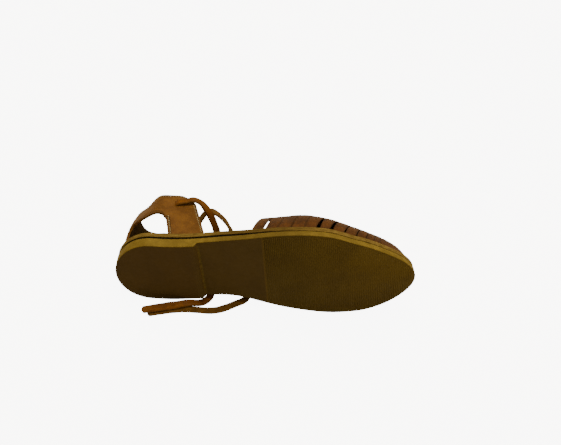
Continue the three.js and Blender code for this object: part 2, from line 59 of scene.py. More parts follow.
# %% Find the shoe's own axes on the floor
HEEL_SPOT = np.array([33.0, 0.0, 0.0])
BALL_SPOT = np.array([168.0, 1.5, 0.0])
mounts = {mount["name"]: mount for mount in frame["record"]["mounts"]}
heel_spot = np.array(mounts["heel_tread"]["pos_m"]) * 1000
ball_spot = np.array(mounts["forefoot_tread"]["pos_m"]) * 1000
shoe_up = -np.array(mounts["heel_tread"]["axis"])
between = (ball_spot - heel_spot) / np.linalg.norm(ball_spot - heel_spot)
beside = np.cross(shoe_up, between)
swing = math.atan2(BALL_SPOT[1] - HEEL_SPOT[1], BALL_SPOT[0] - HEEL_SPOT[0])
shoe_along = math.cos(swing) * between - math.sin(swing) * beside
shoe_medial = math.sin(swing) * between + math.cos(swing) * beside
SHOE_AXES = np.stack([shoe_along, shoe_medial, shoe_up])
SHOE_START = heel_spot - HEEL_SPOT @ SHOE_AXES


def on_floor(points):
    """Shoe millimetres to metres on the floor."""
    return (np.asarray(points, float) @ SHOE_AXES + SHOE_START) / 1000


print("the shoe's up on the floor:", np.round(shoe_up, 3))

# %% [markdown]
# The camera comes next, because everything else is judged through it. It looks down at
# the sole from the lateral side, and its place was worked out from the sandal's outline.
# Both its place and its axes are given in the shoe's own frame.

# %% Camera
CAMERA_PLACE = (121.47, -441.94, -479.99)
CAMERA_AXES = np.array(
    [
        [0.99971204, -0.01318555, -0.02004940],
        [0.00228523, -0.77940026, 0.62652216],
        [-0.02388755, -0.62638756, -0.77914569],
    ]
)
camera = bpy.data.objects.new("camera", bpy.data.cameras.new("camera"))
bpy.context.scene.collection.objects.link(camera)
camera.data.sensor_width = 36.0
camera.data.lens = 49.99
camera.data.clip_start = 0.01
camera.data.dof.use_dof = False
turned = np.eye(4)
turned[:3, :3] = (CAMERA_AXES @ SHOE_AXES).T
turned[:3, 3] = on_floor([CAMERA_PLACE])[0]
camera.matrix_world = Matrix(turned)
bpy.context.scene.camera = camera
print("camera at", np.round(turned[:3, 3], 3))

# %% [markdown]
# The sandal is shown as in a catalogue: a plain pale floor, a broad soft light from above
# and behind that falls on the sole's edge and the uppers, and little light from the front,
# so that the tread stays dark.

# %% Floor and lights
floor_mesh = bpy.data.meshes.new("floor")
floor_mesh.from_pydata([(-4, -4, 0), (4, -4, 0), (4, 4, 0), (-4, 4, 0)], [], [(0, 1, 2, 3)])
floor = bpy.data.objects.new("floor", floor_mesh)
bpy.context.scene.collection.objects.link(floor)
paper = bpy.data.materials.new("paper")
paper.use_nodes = True
paper_inputs = paper.node_tree.nodes["Principled BSDF"].inputs
paper_inputs["Base Color"].default_value = (0.93, 0.93, 0.93, 1)
paper_inputs["Roughness"].default_value = 0.9
# The camera sees the paper burnt out to white, while the sandal gets no extra light from it
seen = paper.node_tree.nodes.new("ShaderNodeLightPath")
paper.node_tree.links.new(seen.outputs["Is Camera Ray"], paper_inputs["Emission Color"])
paper_inputs["Emission Strength"].default_value = 8.0
floor_mesh.materials.append(paper)

world = bpy.data.worlds.new("studio")
bpy.context.scene.world = world
world.use_nodes = True
world.node_tree.nodes["Background"].inputs["Color"].default_value = (1, 0.78, 0.4, 1)
world.node_tree.nodes["Background"].inputs["Strength"].default_value = 0.34


def soft_light(name, place, target, size, power):
    """A square area light that looks at a point."""
    data = bpy.data.lights.new(name, "AREA")
    data.shape = "SQUARE"
    data.size = size
    data.energy = power
    data.color = (1, 0.87, 0.6)
    light = bpy.data.objects.new(name, data)
    bpy.context.scene.collection.objects.link(light)
    away = np.array(place, float) - np.array(target, float)
    back = away / np.linalg.norm(away)
    right = np.cross([0.0, 1.0, 0.05], back)
    right /= np.linalg.norm(right)
    pose = np.eye(4)
    pose[:3, 0], pose[:3, 1], pose[:3, 2], pose[:3, 3] = right, np.cross(back, right), back, place
    light.matrix_world = Matrix(pose)


soft_light("light_above", (0.05, 0.3, 1.1), (0, 0, 0), 0.8, 8)
soft_light("light_right", (1.1, -0.2, 0.7), (0, 0, 0), 0.6, 1.5)

# %% [markdown]
# ## Finishes
# Shader maths reads best as plain sums. The small class below wraps one number of a
# material's node tree and gives it Python's arithmetic signs, each of which adds a Math
# node. A Finish is one material with the few patterns that this sandal needs.


# %% Numbers in a material
class Amount:
    """A number in a finish: the signs + - * / ** add Math nodes to it."""

    def __init__(self, finish, socket):
        self.finish, self.socket = finish, socket

    def math(self, operation, *others):
        settings = {"operation": operation}
        node = self.finish.node("ShaderNodeMath", settings, dict(enumerate((self, *others))))
        return Amount(self.finish, node.outputs[0])

    def __add__(self, other):
        return self.math("ADD", other)

    def __mul__(self, other):
        return self.math("MULTIPLY", other)

    def __sub__(self, other):
        return self.math("SUBTRACT", other)

    def __rsub__(self, other):
        return (self * -1) + other

    def __truediv__(self, other):
        return self.math("DIVIDE", other)

    def __pow__(self, other):
        return self.math("POWER", other)

    __radd__, __rmul__ = __add__, __mul__

    def rise(self, low, high):
        """0 below low, 1 above high and smooth between."""
        settings = {"interpolation_type": "SMOOTHSTEP"}
        links = {"Value": self, "From Min": low, "From Max": high}
        ramp_node = self.finish.node("ShaderNodeMapRange", settings, links)
        return Amount(self.finish, ramp_node.outputs[0])

    def fall(self, low, high):
        return 1 - self.rise(low, high)


# %% One material and its patterns
def paint(red, green, blue):
    """A colour picked on a screen, as the shader's linear light."""
    parts = [value / 255 for value in (red, green, blue)]
    linear_parts = [p / 12.92 if p <= 0.04045 else ((p + 0.055) / 1.055) ** 2.4 for p in parts]
    return (*linear_parts, 1.0)


class Finish:
    """One material, with its nodes added by short calls."""

    def __init__(self, name):
        self.material = bpy.data.materials.new(name)
        self.material.use_nodes = True
        self.tree = self.material.node_tree
        self.shader = self.tree.nodes["Principled BSDF"]
        self.shader.inputs["Specular IOR Level"].default_value = 0.3

    def feed(self, value, socket):
        if isinstance(value, Amount):
            value = value.socket
        if isinstance(value, bpy.types.NodeSocket):
            self.tree.links.new(value, socket)
        else:
            socket.default_value = value

    def node(self, kind, settings=None, links=None):
        node = self.tree.nodes.new(kind)
        for key, value in (settings or {}).items():
            setattr(node, key, value)
        for key, value in (links or {}).items():
            self.feed(value, node.inputs[key])
        return node

    def lay(self, part=None):
        """The piece's own coordinates in millimetres, or one of the three."""
        node = self.node("ShaderNodeAttribute", {"attribute_name": "lay"})
        if part is None:
            return node.outputs["Vector"]
        split = self.node("ShaderNodeSeparateXYZ", links={0: node.outputs["Vector"]})
        return Amount(self, split.outputs[part])

    def stretched(self, scale):
        settings = {"operation": "MULTIPLY"}
        return self.node("ShaderNodeVectorMath", settings, {0: self.lay(), 1: scale}).outputs[0]

    def noise(self, size, detail=3.0, scale=(1, 1, 1), roughness=0.55):
        """Cloudy noise whose patches are about size millimetres across."""
        links = {"Vector": self.stretched(scale), "Scale": 1 / size}
        links |= {"Detail": detail, "Roughness": roughness}
        return Amount(self, self.node("ShaderNodeTexNoise", None, links).outputs["Fac"])

    def cells(self, size, scale=(1, 1, 1), feature="F1"):
        """Distance in a pattern of cells about size millimetres across."""
        links = {"Vector": self.stretched(scale), "Scale": 1 / size}
        node = self.node("ShaderNodeTexVoronoi", {"feature": feature}, links)
        return Amount(self, node.outputs["Distance"])

    def mix(self, share, first, second, blend="MIX"):
        """A colour between two, by a share."""
        node = self.node("ShaderNodeMix", {"data_type": "RGBA", "blend_type": blend})
        self.feed(share, node.inputs[0])
        self.feed(first, node.inputs[6])
        self.feed(second, node.inputs[7])
        return node.outputs[2]

    def finish(self, color, roughness, height=None, depth=0.0):
        """Sets the colour, the gloss and the relief, whose depth is in millimetres."""
        self.feed(color, self.shader.inputs["Base Color"])
        self.feed(roughness, self.shader.inputs["Roughness"])
        if height is not None:
            links = {"Height": height, "Distance": depth / 1000, "Strength": 1.0}
            bump = self.node("ShaderNodeBump", None, links)
            self.feed(bump.outputs["Normal"], self.shader.inputs["Normal"])
        return self.material


# %% [markdown]
# Leather is one recipe with several tones. The grain side has tiny pebbles and pores,
# soft clouds of dye, and it is rubbed darker beside its edges. The cut edge shows raw,
# lighter fibres. The flesh side is matt and fuzzy. The third number of a leather piece's
# coordinates is its distance from the nearest cut edge, so wear follows the real outline.


# %% Leather
SEAM = 2.1  # from a cut edge of the quarter to its stitches, in millimetres


def grain_leather(name, light, dark, gloss, mottle=0.6, seam=0.0):
    f = Finish(name)
    clouds = f.noise(14, 3, roughness=0.5).rise(0.34, 0.66)
    patches = f.noise(3.2, 4, roughness=0.6).rise(0.38, 0.72)
    streaks = f.noise(1.3, 3, scale=(0.22, 1, 1)).rise(0.3, 0.7)
    tone = clouds * (1 - mottle) + patches * mottle
    color = f.mix(tone * 0.8 + streaks * 0.2, dark, light)
    # Dye pulls away where the hide was stretched, and dirt and rubbing darken the edges
    pulled = f.noise(6, 2).rise(0.6, 0.8) * clouds * 0.35
    color = f.mix(pulled, color, [min(1.5 * part, 1) for part in light[:3]] + [1.0])
    burnished = f.lay(2).fall(0.1, 1.7) * 0.5 + f.noise(0.8, 2).rise(0.64, 0.8) * 0.22
    color = f.mix(burnished, color, [0.5 * part for part in dark[:3]] + [1.0])
    pebbles = f.cells(0.7, feature="SMOOTH_F1")
    height = pebbles * 0.5 + f.noise(0.35, 2) * 0.35 + f.noise(4.5, 2) * 1.6 + streaks * 0.25
    if seam:
        # The needle drags the hide down along its line and leaves it dark
        line = f.lay(2).rise(seam - 0.8, seam - 0.2) * f.lay(2).fall(seam + 0.2, seam + 0.8)
        color = f.mix(line * 0.8, color, [0.2 * part for part in dark[:3]] + [1.0])
        height = height - line * 2
    return f.finish(color, f.noise(4, 2) * 0.25 + gloss, height, 0.13)


def raw_edge(name, light, dark):
    f = Finish(name)
    fibres = f.noise(0.5, 4, scale=(0.2, 1, 1), roughness=0.7)
    color = f.mix(fibres.rise(0.3, 0.7) * 0.7 + f.noise(5, 2).rise(0.4, 0.7) * 0.3, dark, light)
    return f.finish(color, 0.85, fibres, 0.2)


def flesh_side(name, light, dark):
    f = Finish(name)
    fuzz = f.noise(0.45, 4, roughness=0.7)
    color = f.mix(fuzz * 0.6 + f.noise(6, 3).rise(0.35, 0.7) * 0.5 - 0.1, dark, light)
    return f.finish(color, 0.95, fuzz, 0.25)


VAMP_LEATHER = grain_leather("vamp_leather", paint(114, 69, 20), paint(68, 35, 9), 0.45, 0.5)
VAMP_EDGE = raw_edge("vamp_cut_edge", paint(140, 100, 46), paint(84, 50, 18))
VAMP_FLESH = flesh_side("vamp_flesh_side", paint(96, 68, 34), paint(60, 38, 16))
QUARTER_LEATHER = grain_leather(
    "quarter_leather", paint(142, 98, 42), paint(106, 68, 25), 0.44, 0.3, SEAM
)
QUARTER_EDGE = raw_edge("quarter_cut_edge", paint(140, 98, 44), paint(88, 54, 20))
QUARTER_LINING = flesh_side("quarter_lining", paint(100, 76, 34), paint(62, 44, 17))
TIE_GRAIN = grain_leather("tie_grain", paint(154, 96, 26), paint(104, 60, 12), 0.45, 0.4)
TIE_FLESH = flesh_side("tie_flesh", paint(140, 104, 50), paint(96, 66, 28))
print("leathers:", len(bpy.data.materials))

# %% [markdown]
# ## Ties
# The ties are flat leather laces that lie free, so they come before the other pieces.
# Each runs out of the quarter, falls behind the sole, passes under its narrow waist and
# ends on the floor in front of the heel. The tables repeat the route that the packed
# solids follow: a place in millimetres and the way that the grain side faces, first in
# the shoe's own frame and then on the floor.

# %% Routes of the ties
TIE_WIDTH, TIE_THICKNESS = 6.5, 1.8
LATERAL_ON_SHOE = [
    (36, -24.4, 61.9, 0, -1, 0),
    (40, -24.2, 61.9, 0, -1, 0),
    (43.6, -24.3, 61.9, 0, -1, 0),
    (46.1, -26.6, 61.9, 0, -1, 0),
    (48.6, -28.9, 62, 0, -1, 0),
    (52, -29.6, 62.1, 0, -1, 0),
    (57, -30.4, 62.4, 0, -1, 0),
    (62, -31, 63, 0.1, -1, 0),
    (67.5, -28, 63.4, 0.5, -0.85, -0.1),
    (72, -21.5, 63.8, 0.6, -0.6, -0.5),
    (75.6, -14, 63.5, 0.5, -0.3, -0.8),
    (78.5, -7, 61.5, 0.2, -0.2, -0.95),
    (81, 1, 59, 0, -0.1, -1),
]
LATERAL_ON_FLOOR = [
    (-42.8, 16.5, 17, 0, -1, 0.1),
    (-42, 10.5, 8.5, 0, -0.8, 0.6),
    (-42, 4, 3, 0, -0.4, 0.9),
    (-42.5, -4, 1.1, 0, 0, 1),
    (-43.5, -14, 1, 0, 0, 1),
    (-44.5, -24, 1, 0, 0, 1),
    (-46, -33, 1, 0, 0, 1),
    (-49.7, -38.3, 1, 0, 0, 1),
    (-54.5, -41.3, 1.6, 0, 0, 1),
    (-60.5, -43.2, 3.6, 0, -0.1, 1),
    (-67, -45.2, 4.7, 0, -0.35, 0.94),
    (-75, -48, 5, 0, -0.55, 0.83),
    (-84, -50.4, 4.8, 0, -0.57, 0.82),
    (-93, -53, 4.8, 0, -0.57, 0.82),
    (-102.3, -55.8, 4.8, 0, -0.57, 0.82),
]
MEDIAL_ON_SHOE = [
    (40, 17.6, 61.5, 0, 0.98, 0.17),
    (46, 17.4, 61.7, 0, 0.98, 0.17),
    (52, 16.6, 62.3, 0, 0.98, 0.17),
    (57, 13.5, 64.5, 0.25, 0.93, 0.25),
    (61.5, 7.5, 69, 0.5, 0.8, 0.2),
    (66, -0.5, 73.5, 0.55, 0.8, 0.2),
    (71, -7, 75, 0.3, 0.93, 0.2),
    (76, -9.8, 74, 0, 1, 0.1),
    (80.5, -9, 72, -0.25, 0.95, 0),
    (85, -5.8, 70.5, -0.5, 0.85, 0),
    (89, -1, 69.5, -0.8, 0.6, 0),
    (92, 4.5, 68, -0.95, 0.3, 0),
]
MEDIAL_ON_FLOOR = [
    (-31.6, 28, 17.5, -0.7, 0.7, 0),
    (-29.5, 22.5, 10, -0.3, 0.9, -0.3),
    (-27.3, 14.5, 4.2, 0, 0.5, -0.85),
    (-25, 6, 1.4, 0, 0, -1),
    (-22, -4, 1, 0, 0, -1),
    (-18.5, -14, 1, 0, 0, -1),
    (-15, -23, 1, 0, 0, -1),
    (-14, -29.5, 1, 0, 0, -1),
    (-16, -34, 1, 0, 0, -1),
    (-23.7, -39, 1, 0, 0, -1),
    (-31.3, -43.6, 1, 0, 0, -1),
    (-38.7, -47, 1, 0, 0, -1),
    (-46.5, -48.5, 1, 0, 0, -1),
    (-54, -48.5, 1, 0, 0, -1),
    (-61.4, -48.4, 1, 0, 0, -1),
    (-69, -48.8, 1, 0, 0, -1),
    (-78.5, -50.8, 1, 0, 0, -1),
    (-88.3, -53.4, 1, 0, 0, -1),
    (-97.5, -55.9, 1, 0, 0, -1),
]

# %% [markdown]
# The helper below turns points and faces into a named object. It keeps the piece's own
# coordinates as a point attribute called lay, which the finishes read, and gives each
# face its finish by number.


# %% Turn points and faces into a piece
def units(vectors):
    return vectors / np.maximum(np.linalg.norm(vectors, axis=-1, keepdims=True), 1e-12)


def make_piece(name, points, faces, lay, finishes, numbers=None, merge=0.0):
    """points in metres on the floor, lay in millimetres, numbers one per face."""
    mesh = bpy.data.meshes.new(name)
    mesh.from_pydata(np.asarray(points, float).tolist(), [], [list(face) for face in faces])
    for finish in finishes:
        mesh.materials.append(finish)
    if numbers is not None:
        mesh.polygons.foreach_set("material_index", np.asarray(numbers, np.int32))
    kept = mesh.attributes.new("lay", "FLOAT_VECTOR", "POINT")
    kept.data.foreach_set("vector", np.asarray(lay, np.float32).ravel())
    mesh.polygons.foreach_set("use_smooth", np.ones(len(mesh.polygons), bool))
    mesh.update()
    piece = bpy.data.objects.new(name, mesh)
    bpy.context.scene.collection.objects.link(piece)
    if merge:
        weld = piece.modifiers.new("weld", "WELD")
        weld.merge_threshold = merge
    return piece


# %% Sweep a flat lace along its route
def smooth_route(places, per_span):
    """A centripetal curve through the places, and where each point lies between them."""
    ends = [2 * places[0] - places[1], *places, 2 * places[-1] - places[-2]]
    points, at = [], []
    for k in range(len(places) - 1):
        p0, p1, p2, p3 = ends[k : k + 4]
        d0, d1, d2 = (math.sqrt(np.linalg.norm(b - a)) for a, b in ((p0, p1), (p1, p2), (p2, p3)))
        start = ((p1 - p0) / d0 - (p2 - p0) / (d0 + d1) + (p2 - p1) / d1) * d1
        stop = ((p2 - p1) / d1 - (p3 - p1) / (d1 + d2) + (p3 - p2) / d2) * d1
        for s in np.arange(per_span) / per_span:
            cubic = (2 * p1 - 2 * p2 + start + stop) * s**3
            points.append(p1 + start * s + (3 * p2 - 3 * p1 - 2 * start - stop) * s**2 + cubic)
            at.append(k + s)
    return np.array([*points, places[-1]]), np.array([*at, len(places) - 1.0])


def make_tie(name, on_shoe, on_floor_rows, grain_start):
    shoe_rows, floor_rows = np.array(on_shoe, float), np.array(on_floor_rows, float)
    places = np.concatenate([on_floor(shoe_rows[:, :3]) * 1000, floor_rows[:, :3]])
    faces = units(np.concatenate([shoe_rows[:, 3:] @ SHOE_AXES, floor_rows[:, 3:]]))
    middle, at = smooth_route(list(places), 8)
    along = units(np.gradient(middle, axis=0))
    low = np.minimum(at.astype(int), len(faces) - 2)
    share = (at - low)[:, None]
    face = faces[low] * (1 - share) + faces[low + 1] * share
    across = units(np.cross(along, face))
    face = np.cross(across, along)
    run = np.concatenate([[0], np.cumsum(np.linalg.norm(np.diff(middle, axis=0), axis=1))])
    to_end = np.minimum(run, run[-1] - run)
    # The strip is a little uneven, as one cut by hand, and its ends are rounded
    wavy = 1 + 0.035 * np.sin(run / 5.3) + 0.02 * np.sin(run / 2.1 + 1)
    rounding = np.sqrt(1 - np.clip(1 - to_end / 2.4, 0, 1) ** 2) * 0.75 + 0.25
    w, t = TIE_WIDTH / 2 * wavy * rounding, TIE_THICKNESS / 2 * (0.9 + 0.1 * rounding)
    half = [(-1, 0.35), (-0.93, 0.82), (-0.78, 1), (-0.4, 1.03)]
    half += [(0, 1.0), (0.4, 1.03), (0.78, 1), (0.93, 0.82)]
    section = half + [(-a, -b) for a, b in half]
    rings = np.stack(
        [middle + across * (a * w)[:, None] + face * (b * t)[:, None] for a, b in section], axis=1
    )
    count, size = rings.shape[:2]
    quads, numbers = [], []
    for k in range(count - 1):
        for e in range(size):
            f = (e + 1) % size
            quads.append((k * size + e, k * size + f, (k + 1) * size + f, (k + 1) * size + e))
            numbers.append(0 if 0 < e < 7 else 1)
    quads += [tuple(range(size))[::-1], tuple((count - 1) * size + e for e in range(size))]
    numbers += [1, 1]
    side = np.array([a for a, _ in section])
    lay = np.zeros((count, size, 3))
    lay[..., 0] = run[:, None] + grain_start
    lay[..., 1] = side * TIE_WIDTH / 2
    lay[..., 2] = (1 - np.abs(side)) * TIE_WIDTH / 2
    faces_out = [quad[::-1] for quad in quads]
    tie = make_piece(
        name, rings.reshape(-1, 3) / 1000, faces_out, lay.reshape(-1, 3),
        [TIE_GRAIN, TIE_FLESH], numbers,
    )
    print(f"{name}: {run[-1]:.0f} mm long")
    return tie, middle / 1000, run[-1] / 1000


lateral_tie, lateral_path, lateral_length = make_tie(
    "lateral_tie", LATERAL_ON_SHOE, LATERAL_ON_FLOOR, 440
)
medial_tie, medial_path, medial_length = make_tie(
    "medial_tie", MEDIAL_ON_SHOE, MEDIAL_ON_FLOOR, 400
)

for tie, path, length, node, opening in (
    (lateral_tie, lateral_path, lateral_length, "tie_lateral", (46.1, -26.6, 61.9)),
    (medial_tie, medial_path, medial_length, "tie_medial", (46, 17.4, 61.7)),
):
    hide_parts(node)
    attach(tie, "root")

# %% [markdown]
# ## The sole's outline
# Every layer of the sole, and the foot of every upper piece, follows one outline. A maker
# has it as a paper pattern. Here it is a short table: at shares of the length, how far
# each edge lies from the straight line down the middle, in shares of the ball width.

# %% Outline and heights of the sole
SOLE, BALL_WIDTH, HEEL_ROUND, TOE_ROUND, CLEAR = 252.0, 86.0, 30.0, 50.0, 0.3
HEEL_BLOCK, HEEL_HEIGHT, BREAST_RUN, BREAST_SKEW = 68.6, 4.3, 2.5, 0.085
SHANK_START, SHANK_END = 73.2, 150.0
OUTLINE = np.array(
    [
        (0, 0.378, 0.312),
        (0.099, 0.376, 0.316),
        (0.179, 0.361, 0.331),
        (0.262, 0.366, 0.323),
        (0.397, 0.414, 0.322),
        (0.556, 0.493, 0.443),
        (0.694, 0.477, 0.521),
        (0.794, 0.378, 0.517),
        (0.893, 0.278, 0.478),
        (1, 0.209, 0.419),
    ]
)


def ease(value):
    value = np.clip(value, 0, 1)
    return value * value * (3 - 2 * value)


def through(table, column, at):
    """A smooth curve through one column of a table, whose first column is the place."""
    places, values = table[:, 0], table[:, column]
    slopes = np.gradient(values, places)
    slopes[1:-1] = (values[2:] - values[:-2]) / (places[2:] - places[:-2])
    k = np.clip(np.searchsorted(places, at, side="right") - 1, 0, len(places) - 2)
    run = places[k + 1] - places[k]
    s = np.clip((at - places[k]) / run, 0, 1)
    start = values[k] * (1 + 2 * s) * (1 - s) ** 2 + slopes[k] * run * s * (1 - s) ** 2
    return start + values[k + 1] * s * s * (3 - 2 * s) + slopes[k + 1] * run * s * s * (s - 1)


def edge(x, side, inset):
    """Y of the outline drawn in by an inset: side -1 lateral, 1 medial."""
    x = np.asarray(x, float)
    lateral = through(OUTLINE, 1, x / SOLE) * BALL_WIDTH
    medial = through(OUTLINE, 2, x / SOLE) * BALL_WIDTH
    heel = np.clip(1 - (x - inset) / (HEEL_ROUND - inset), 0, 1)
    toe = np.clip(1 - (SOLE - inset - x) / (TOE_ROUND - inset), 0, 1)
    cap = np.sqrt(1 - heel**2) * np.sqrt(1 - toe**2.2)
    return (medial - lateral) / 2 + side * ((medial + lateral) / 2 - inset) * cap


def towards_toe(x):
    return ease((x / SOLE - 0.36) / 0.24)


def arch(x):
    return HEEL_HEIGHT * (1 - ease((x - SHANK_START) / (SHANK_END - SHANK_START)))


def sheet_under(x):
    spring = np.clip((x / SOLE - 0.74) / 0.26, 0, 1)
    return arch(x) + 5.5 * spring**1.8


def groove_top(x):
    return sheet_under(x) + 5.7 + 2.4 + (0.6 - 2.4) * towards_toe(x)


def midsole_top(x):
    return groove_top(x) + CLEAR + 4.6


def tread(x, y):
    """Height of the underside: the flat heel block ends at a slanting breast."""
    past_breast = np.clip((x - BREAST_SKEW * y - HEEL_BLOCK) / BREAST_RUN, 0, 1)
    return sheet_under(x) - arch(x) * (1 - past_breast)


print("ball width at the widest place:", round(float(edge(160, 1, 0) - edge(160, -1, 0)), 1), "mm")

# %% [markdown]
# ## Outsole, midsole and insole
# Each layer is a stack of rings, all cut from the same outline and drawn in a little where
# an edge is bevelled or rounded. The outsole is honey-coloured rubber: bright where it was
# cut at the side, and dull and painted dark on the tread, partly for wear and partly as
# painted shade on the underside that faces away from the light. A groove runs round between
# it and the midsole and is painted near-black as its shadow; the midsole is thick tan
# leather with its raw fibres showing at the cut.

# %% Build a layer from rings
def stations():
    round_ends = (1 - np.cos(np.pi * np.arange(121) / 120)) / 2
    corners = np.array([-0.4, 0, 0.4])
    breast = np.concatenate([HEEL_BLOCK + corners, HEEL_BLOCK + BREAST_RUN + corners]) / SOLE
    far = round_ends[np.min(np.abs(round_ends[:, None] - breast), axis=1) > 0.004]
    return np.sort(np.concatenate([far, breast]))


STATIONS = stations()


def sole_layer(name, rings, finishes, breast_finish=None):
    """Each ring is an inset, a height and the finish of the strip up to the next ring."""
    skew = BREAST_SKEW * ease(STATIONS / 0.12) * ease((1 - STATIONS) / 0.3)
    count = len(STATIONS)
    loops = []
    for inset, height, _ in rings:
        inset = inset(STATIONS * SOLE) if callable(inset) else np.full(count, float(inset))
        t = inset + STATIONS * (SOLE - 2 * inset)
        sides = []
        for side in (-1, 1):
            x = t.copy()
            for _ in range(8):
                x = t + skew * edge(x, side, inset)
            y = edge(x, side, inset)
            sides.append(np.stack([x, y, height(x, y)], axis=1))
        loops.append(np.concatenate([sides[0], sides[1][-2:0:-1]]))
    size = len(loops[0])
    points = np.concatenate(loops)
    faces, numbers = [], []
    for r in range(len(rings) - 1):
        for k in range(size):
            n = (k + 1) % size
            faces.append((r * size + k, r * size + n, (r + 1) * size + n, (r + 1) * size + k))
            numbers.append(rings[r][2])
    for ring, flip in ((0, True), (len(rings) - 1, False)):
        start = ring * size
        for k in range(count - 1):
            a, b = k, k + 1
            c, d = (size - b) % size, (size - a) % size
            loop = [start + v for v in dict.fromkeys((a, b, c, d))]
            faces.append(tuple(loop[::-1] if flip else loop))
            past = STATIONS[k] * SOLE - HEEL_BLOCK
            slanted = breast_finish is not None and flip and 0.2 < past < BREAST_RUN - 0.2
            numbers.append(breast_finish if slanted else rings[ring][2])
    return make_piece(name, on_floor(points), faces, points, finishes, numbers)


# %% Finishes of the sole
def darker_waist(f, color, waist_tone, share):
    """Both layers are darker round the waist."""
    waist = f.lay(0).rise(72, 96) * f.lay(0).fall(140, 172)
    return f.mix(waist * share, color, waist_tone)


def rubber_side():
    f = Finish("honey_rubber")
    crumbs = f.noise(0.9, 4, roughness=0.7)
    color = f.mix(f.noise(7, 3).rise(0.35, 0.7), paint(128, 107, 36), paint(148, 125, 46))
    color = f.mix(crumbs.rise(0.6, 0.75) * 0.3, color, paint(92, 74, 24))
    scuffs = f.noise(1.2, 3, scale=(0.2, 1, 1.6)).rise(0.66, 0.76)
    color = f.mix(scuffs * 0.5, color, paint(92, 66, 22))
    color = darker_waist(f, color, paint(96, 78, 24), 0.5)
    return f.finish(color, 0.55 + f.noise(2, 2) * 0.2, crumbs, 0.12)


# The ribs start at this distance from the heel, and each leans by this share of its run
RIB_START, RIB_SKEW = 125.0, 0.07


# The tread's colours are darker than the honey side, partly from wear and dirt and partly as
# painted shade for the underside that faces away from the light above.
def rubber_tread():
    f = Finish("walked_and_shaded_rubber")
    ribbed = (f.lay(0) - f.lay(1) * RIB_SKEW).rise(RIB_START - 1.5, RIB_START)
    heel = f.lay(0).fall(64, 72)
    smooth = f.mix(heel, paint(82, 64, 24), paint(80, 60, 20))
    front = f.mix(f.lay(0).rise(120, 240), paint(88, 71, 22), paint(102, 82, 24))
    color = f.mix(ribbed, smooth, front)
    worn = f.noise(22, 4, roughness=0.6).rise(0.38, 0.68)
    color = f.mix(worn * 0.3, color, paint(64, 47, 15))
    # A pale moulding line runs along the first rib
    from_rib = f.lay(0) - f.lay(1) * RIB_SKEW - (RIB_START - 0.8)
    first_rib = from_rib.math("ABSOLUTE").fall(0.2, 1.1)
    color = f.mix(first_rib * 0.35, color, paint(124, 98, 40))
    dust = f.noise(3, 5, roughness=0.75).rise(0.56, 0.8)
    color = f.mix(dust * 0.25, color, paint(104, 84, 42))
    specks = f.noise(0.8, 2).rise(0.7, 0.8)
    color = f.mix(specks * 0.35, color, paint(34, 24, 10))
    height = f.noise(0.7, 4, roughness=0.7) + f.noise(9, 3) * 1.2
    return f.finish(color, 0.62 + f.noise(5, 3) * 0.2, height, 0.06)


def sole_leather_edge():
    f = Finish("tan_sole_edge")
    fibres = f.noise(1.1, 5, scale=(0.12, 0.5, 1), roughness=0.72)
    layers = f.noise(0.8, 3, scale=(0.03, 0.1, 1), roughness=0.6)
    color = f.mix(fibres.rise(0.3, 0.7), paint(104, 82, 36), paint(158, 134, 70))
    color = f.mix(layers.rise(0.52, 0.66) * 0.45, color, paint(84, 62, 26))
    color = f.mix(f.noise(0.6, 3).rise(0.66, 0.76) * 0.6, color, paint(70, 50, 22))
    color = darker_waist(f, color, paint(76, 56, 20), 0.55)
    return f.finish(color, 0.85, fibres + layers * 0.7, 0.35)


# The groove is painted near-black as its shadow, on the outsole's top step and the midsole's
# underside.
def groove_painted_shadow():
    f = Finish("groove_shadow")
    color = f.mix(f.noise(3, 3).rise(0.4, 0.65), paint(20, 13, 5), paint(46, 32, 12))
    return f.finish(color, 0.9, f.noise(1, 3), 0.2)


def breast_rubber():
    """The face of the heel block is painted darker than the honey side as painted shade, with a
    brown line where it was glued.
    """
    f = Finish("heel_breast")
    past = f.lay(0) - f.lay(1) * BREAST_SKEW - HEEL_BLOCK
    line = past.rise(0.9, 1.3) * past.fall(1.7, 2.2)
    color = f.mix(f.noise(3, 3).rise(0.3, 0.7), paint(80, 64, 18), paint(98, 80, 26))
    color = f.mix(line * 0.7, color, paint(104, 62, 18))
    return f.finish(color, 0.7, f.noise(1, 3), 0.15)


HONEY, TREAD, TAN_EDGE, GROOVE = rubber_side(), rubber_tread(), sole_leather_edge(), groove_painted_shadow()
BREAST = breast_rubber()


# %% Outsole
def groove_inset(x):
    return 1.5 + (0.7 - 1.5) * towards_toe(x)


def sheet_top(x, lowered=0.0):
    return sheet_under(x) + 5.7 - lowered


def bevel_ring(share):
    """A point of the rounded lower edge, from the tread at 0 to the side at 1."""
    turn = share * math.pi / 2
    inset, lift = 0.8 * (1 - math.sin(turn)), 0.8 * (1 - math.cos(turn))
    return (inset, lambda x, y: tread(x, y) + lift, 0)


outsole_rings = [
    (3.0, tread, 1),
    (1.3, tread, 1),
    (0.8, tread, 1),
    bevel_ring(0.35),
    bevel_ring(0.7),
    bevel_ring(1),
    (0, lambda x, y: tread(x, y) + 1.2, 0),
    (0, lambda x, y: sheet_top(x, 0.9), 0),
    (0, lambda x, y: sheet_top(x, 0.5), 0),
    (0.15, lambda x, y: sheet_top(x, 0.14), 0),
    (0.5, lambda x, y: sheet_top(x), 2),
    (lambda x: groove_inset(x) - 0.1, lambda x, y: sheet_top(x), 2),
    (groove_inset, lambda x, y: sheet_top(x, -0.1), 2),
    (groove_inset, lambda x, y: groove_top(x), 2),
]
outsole = sole_layer(
    "outsole_sheet", outsole_rings, [HONEY, TREAD, GROOVE, BREAST], breast_finish=3
)
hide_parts("outsole")
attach(outsole, "root")

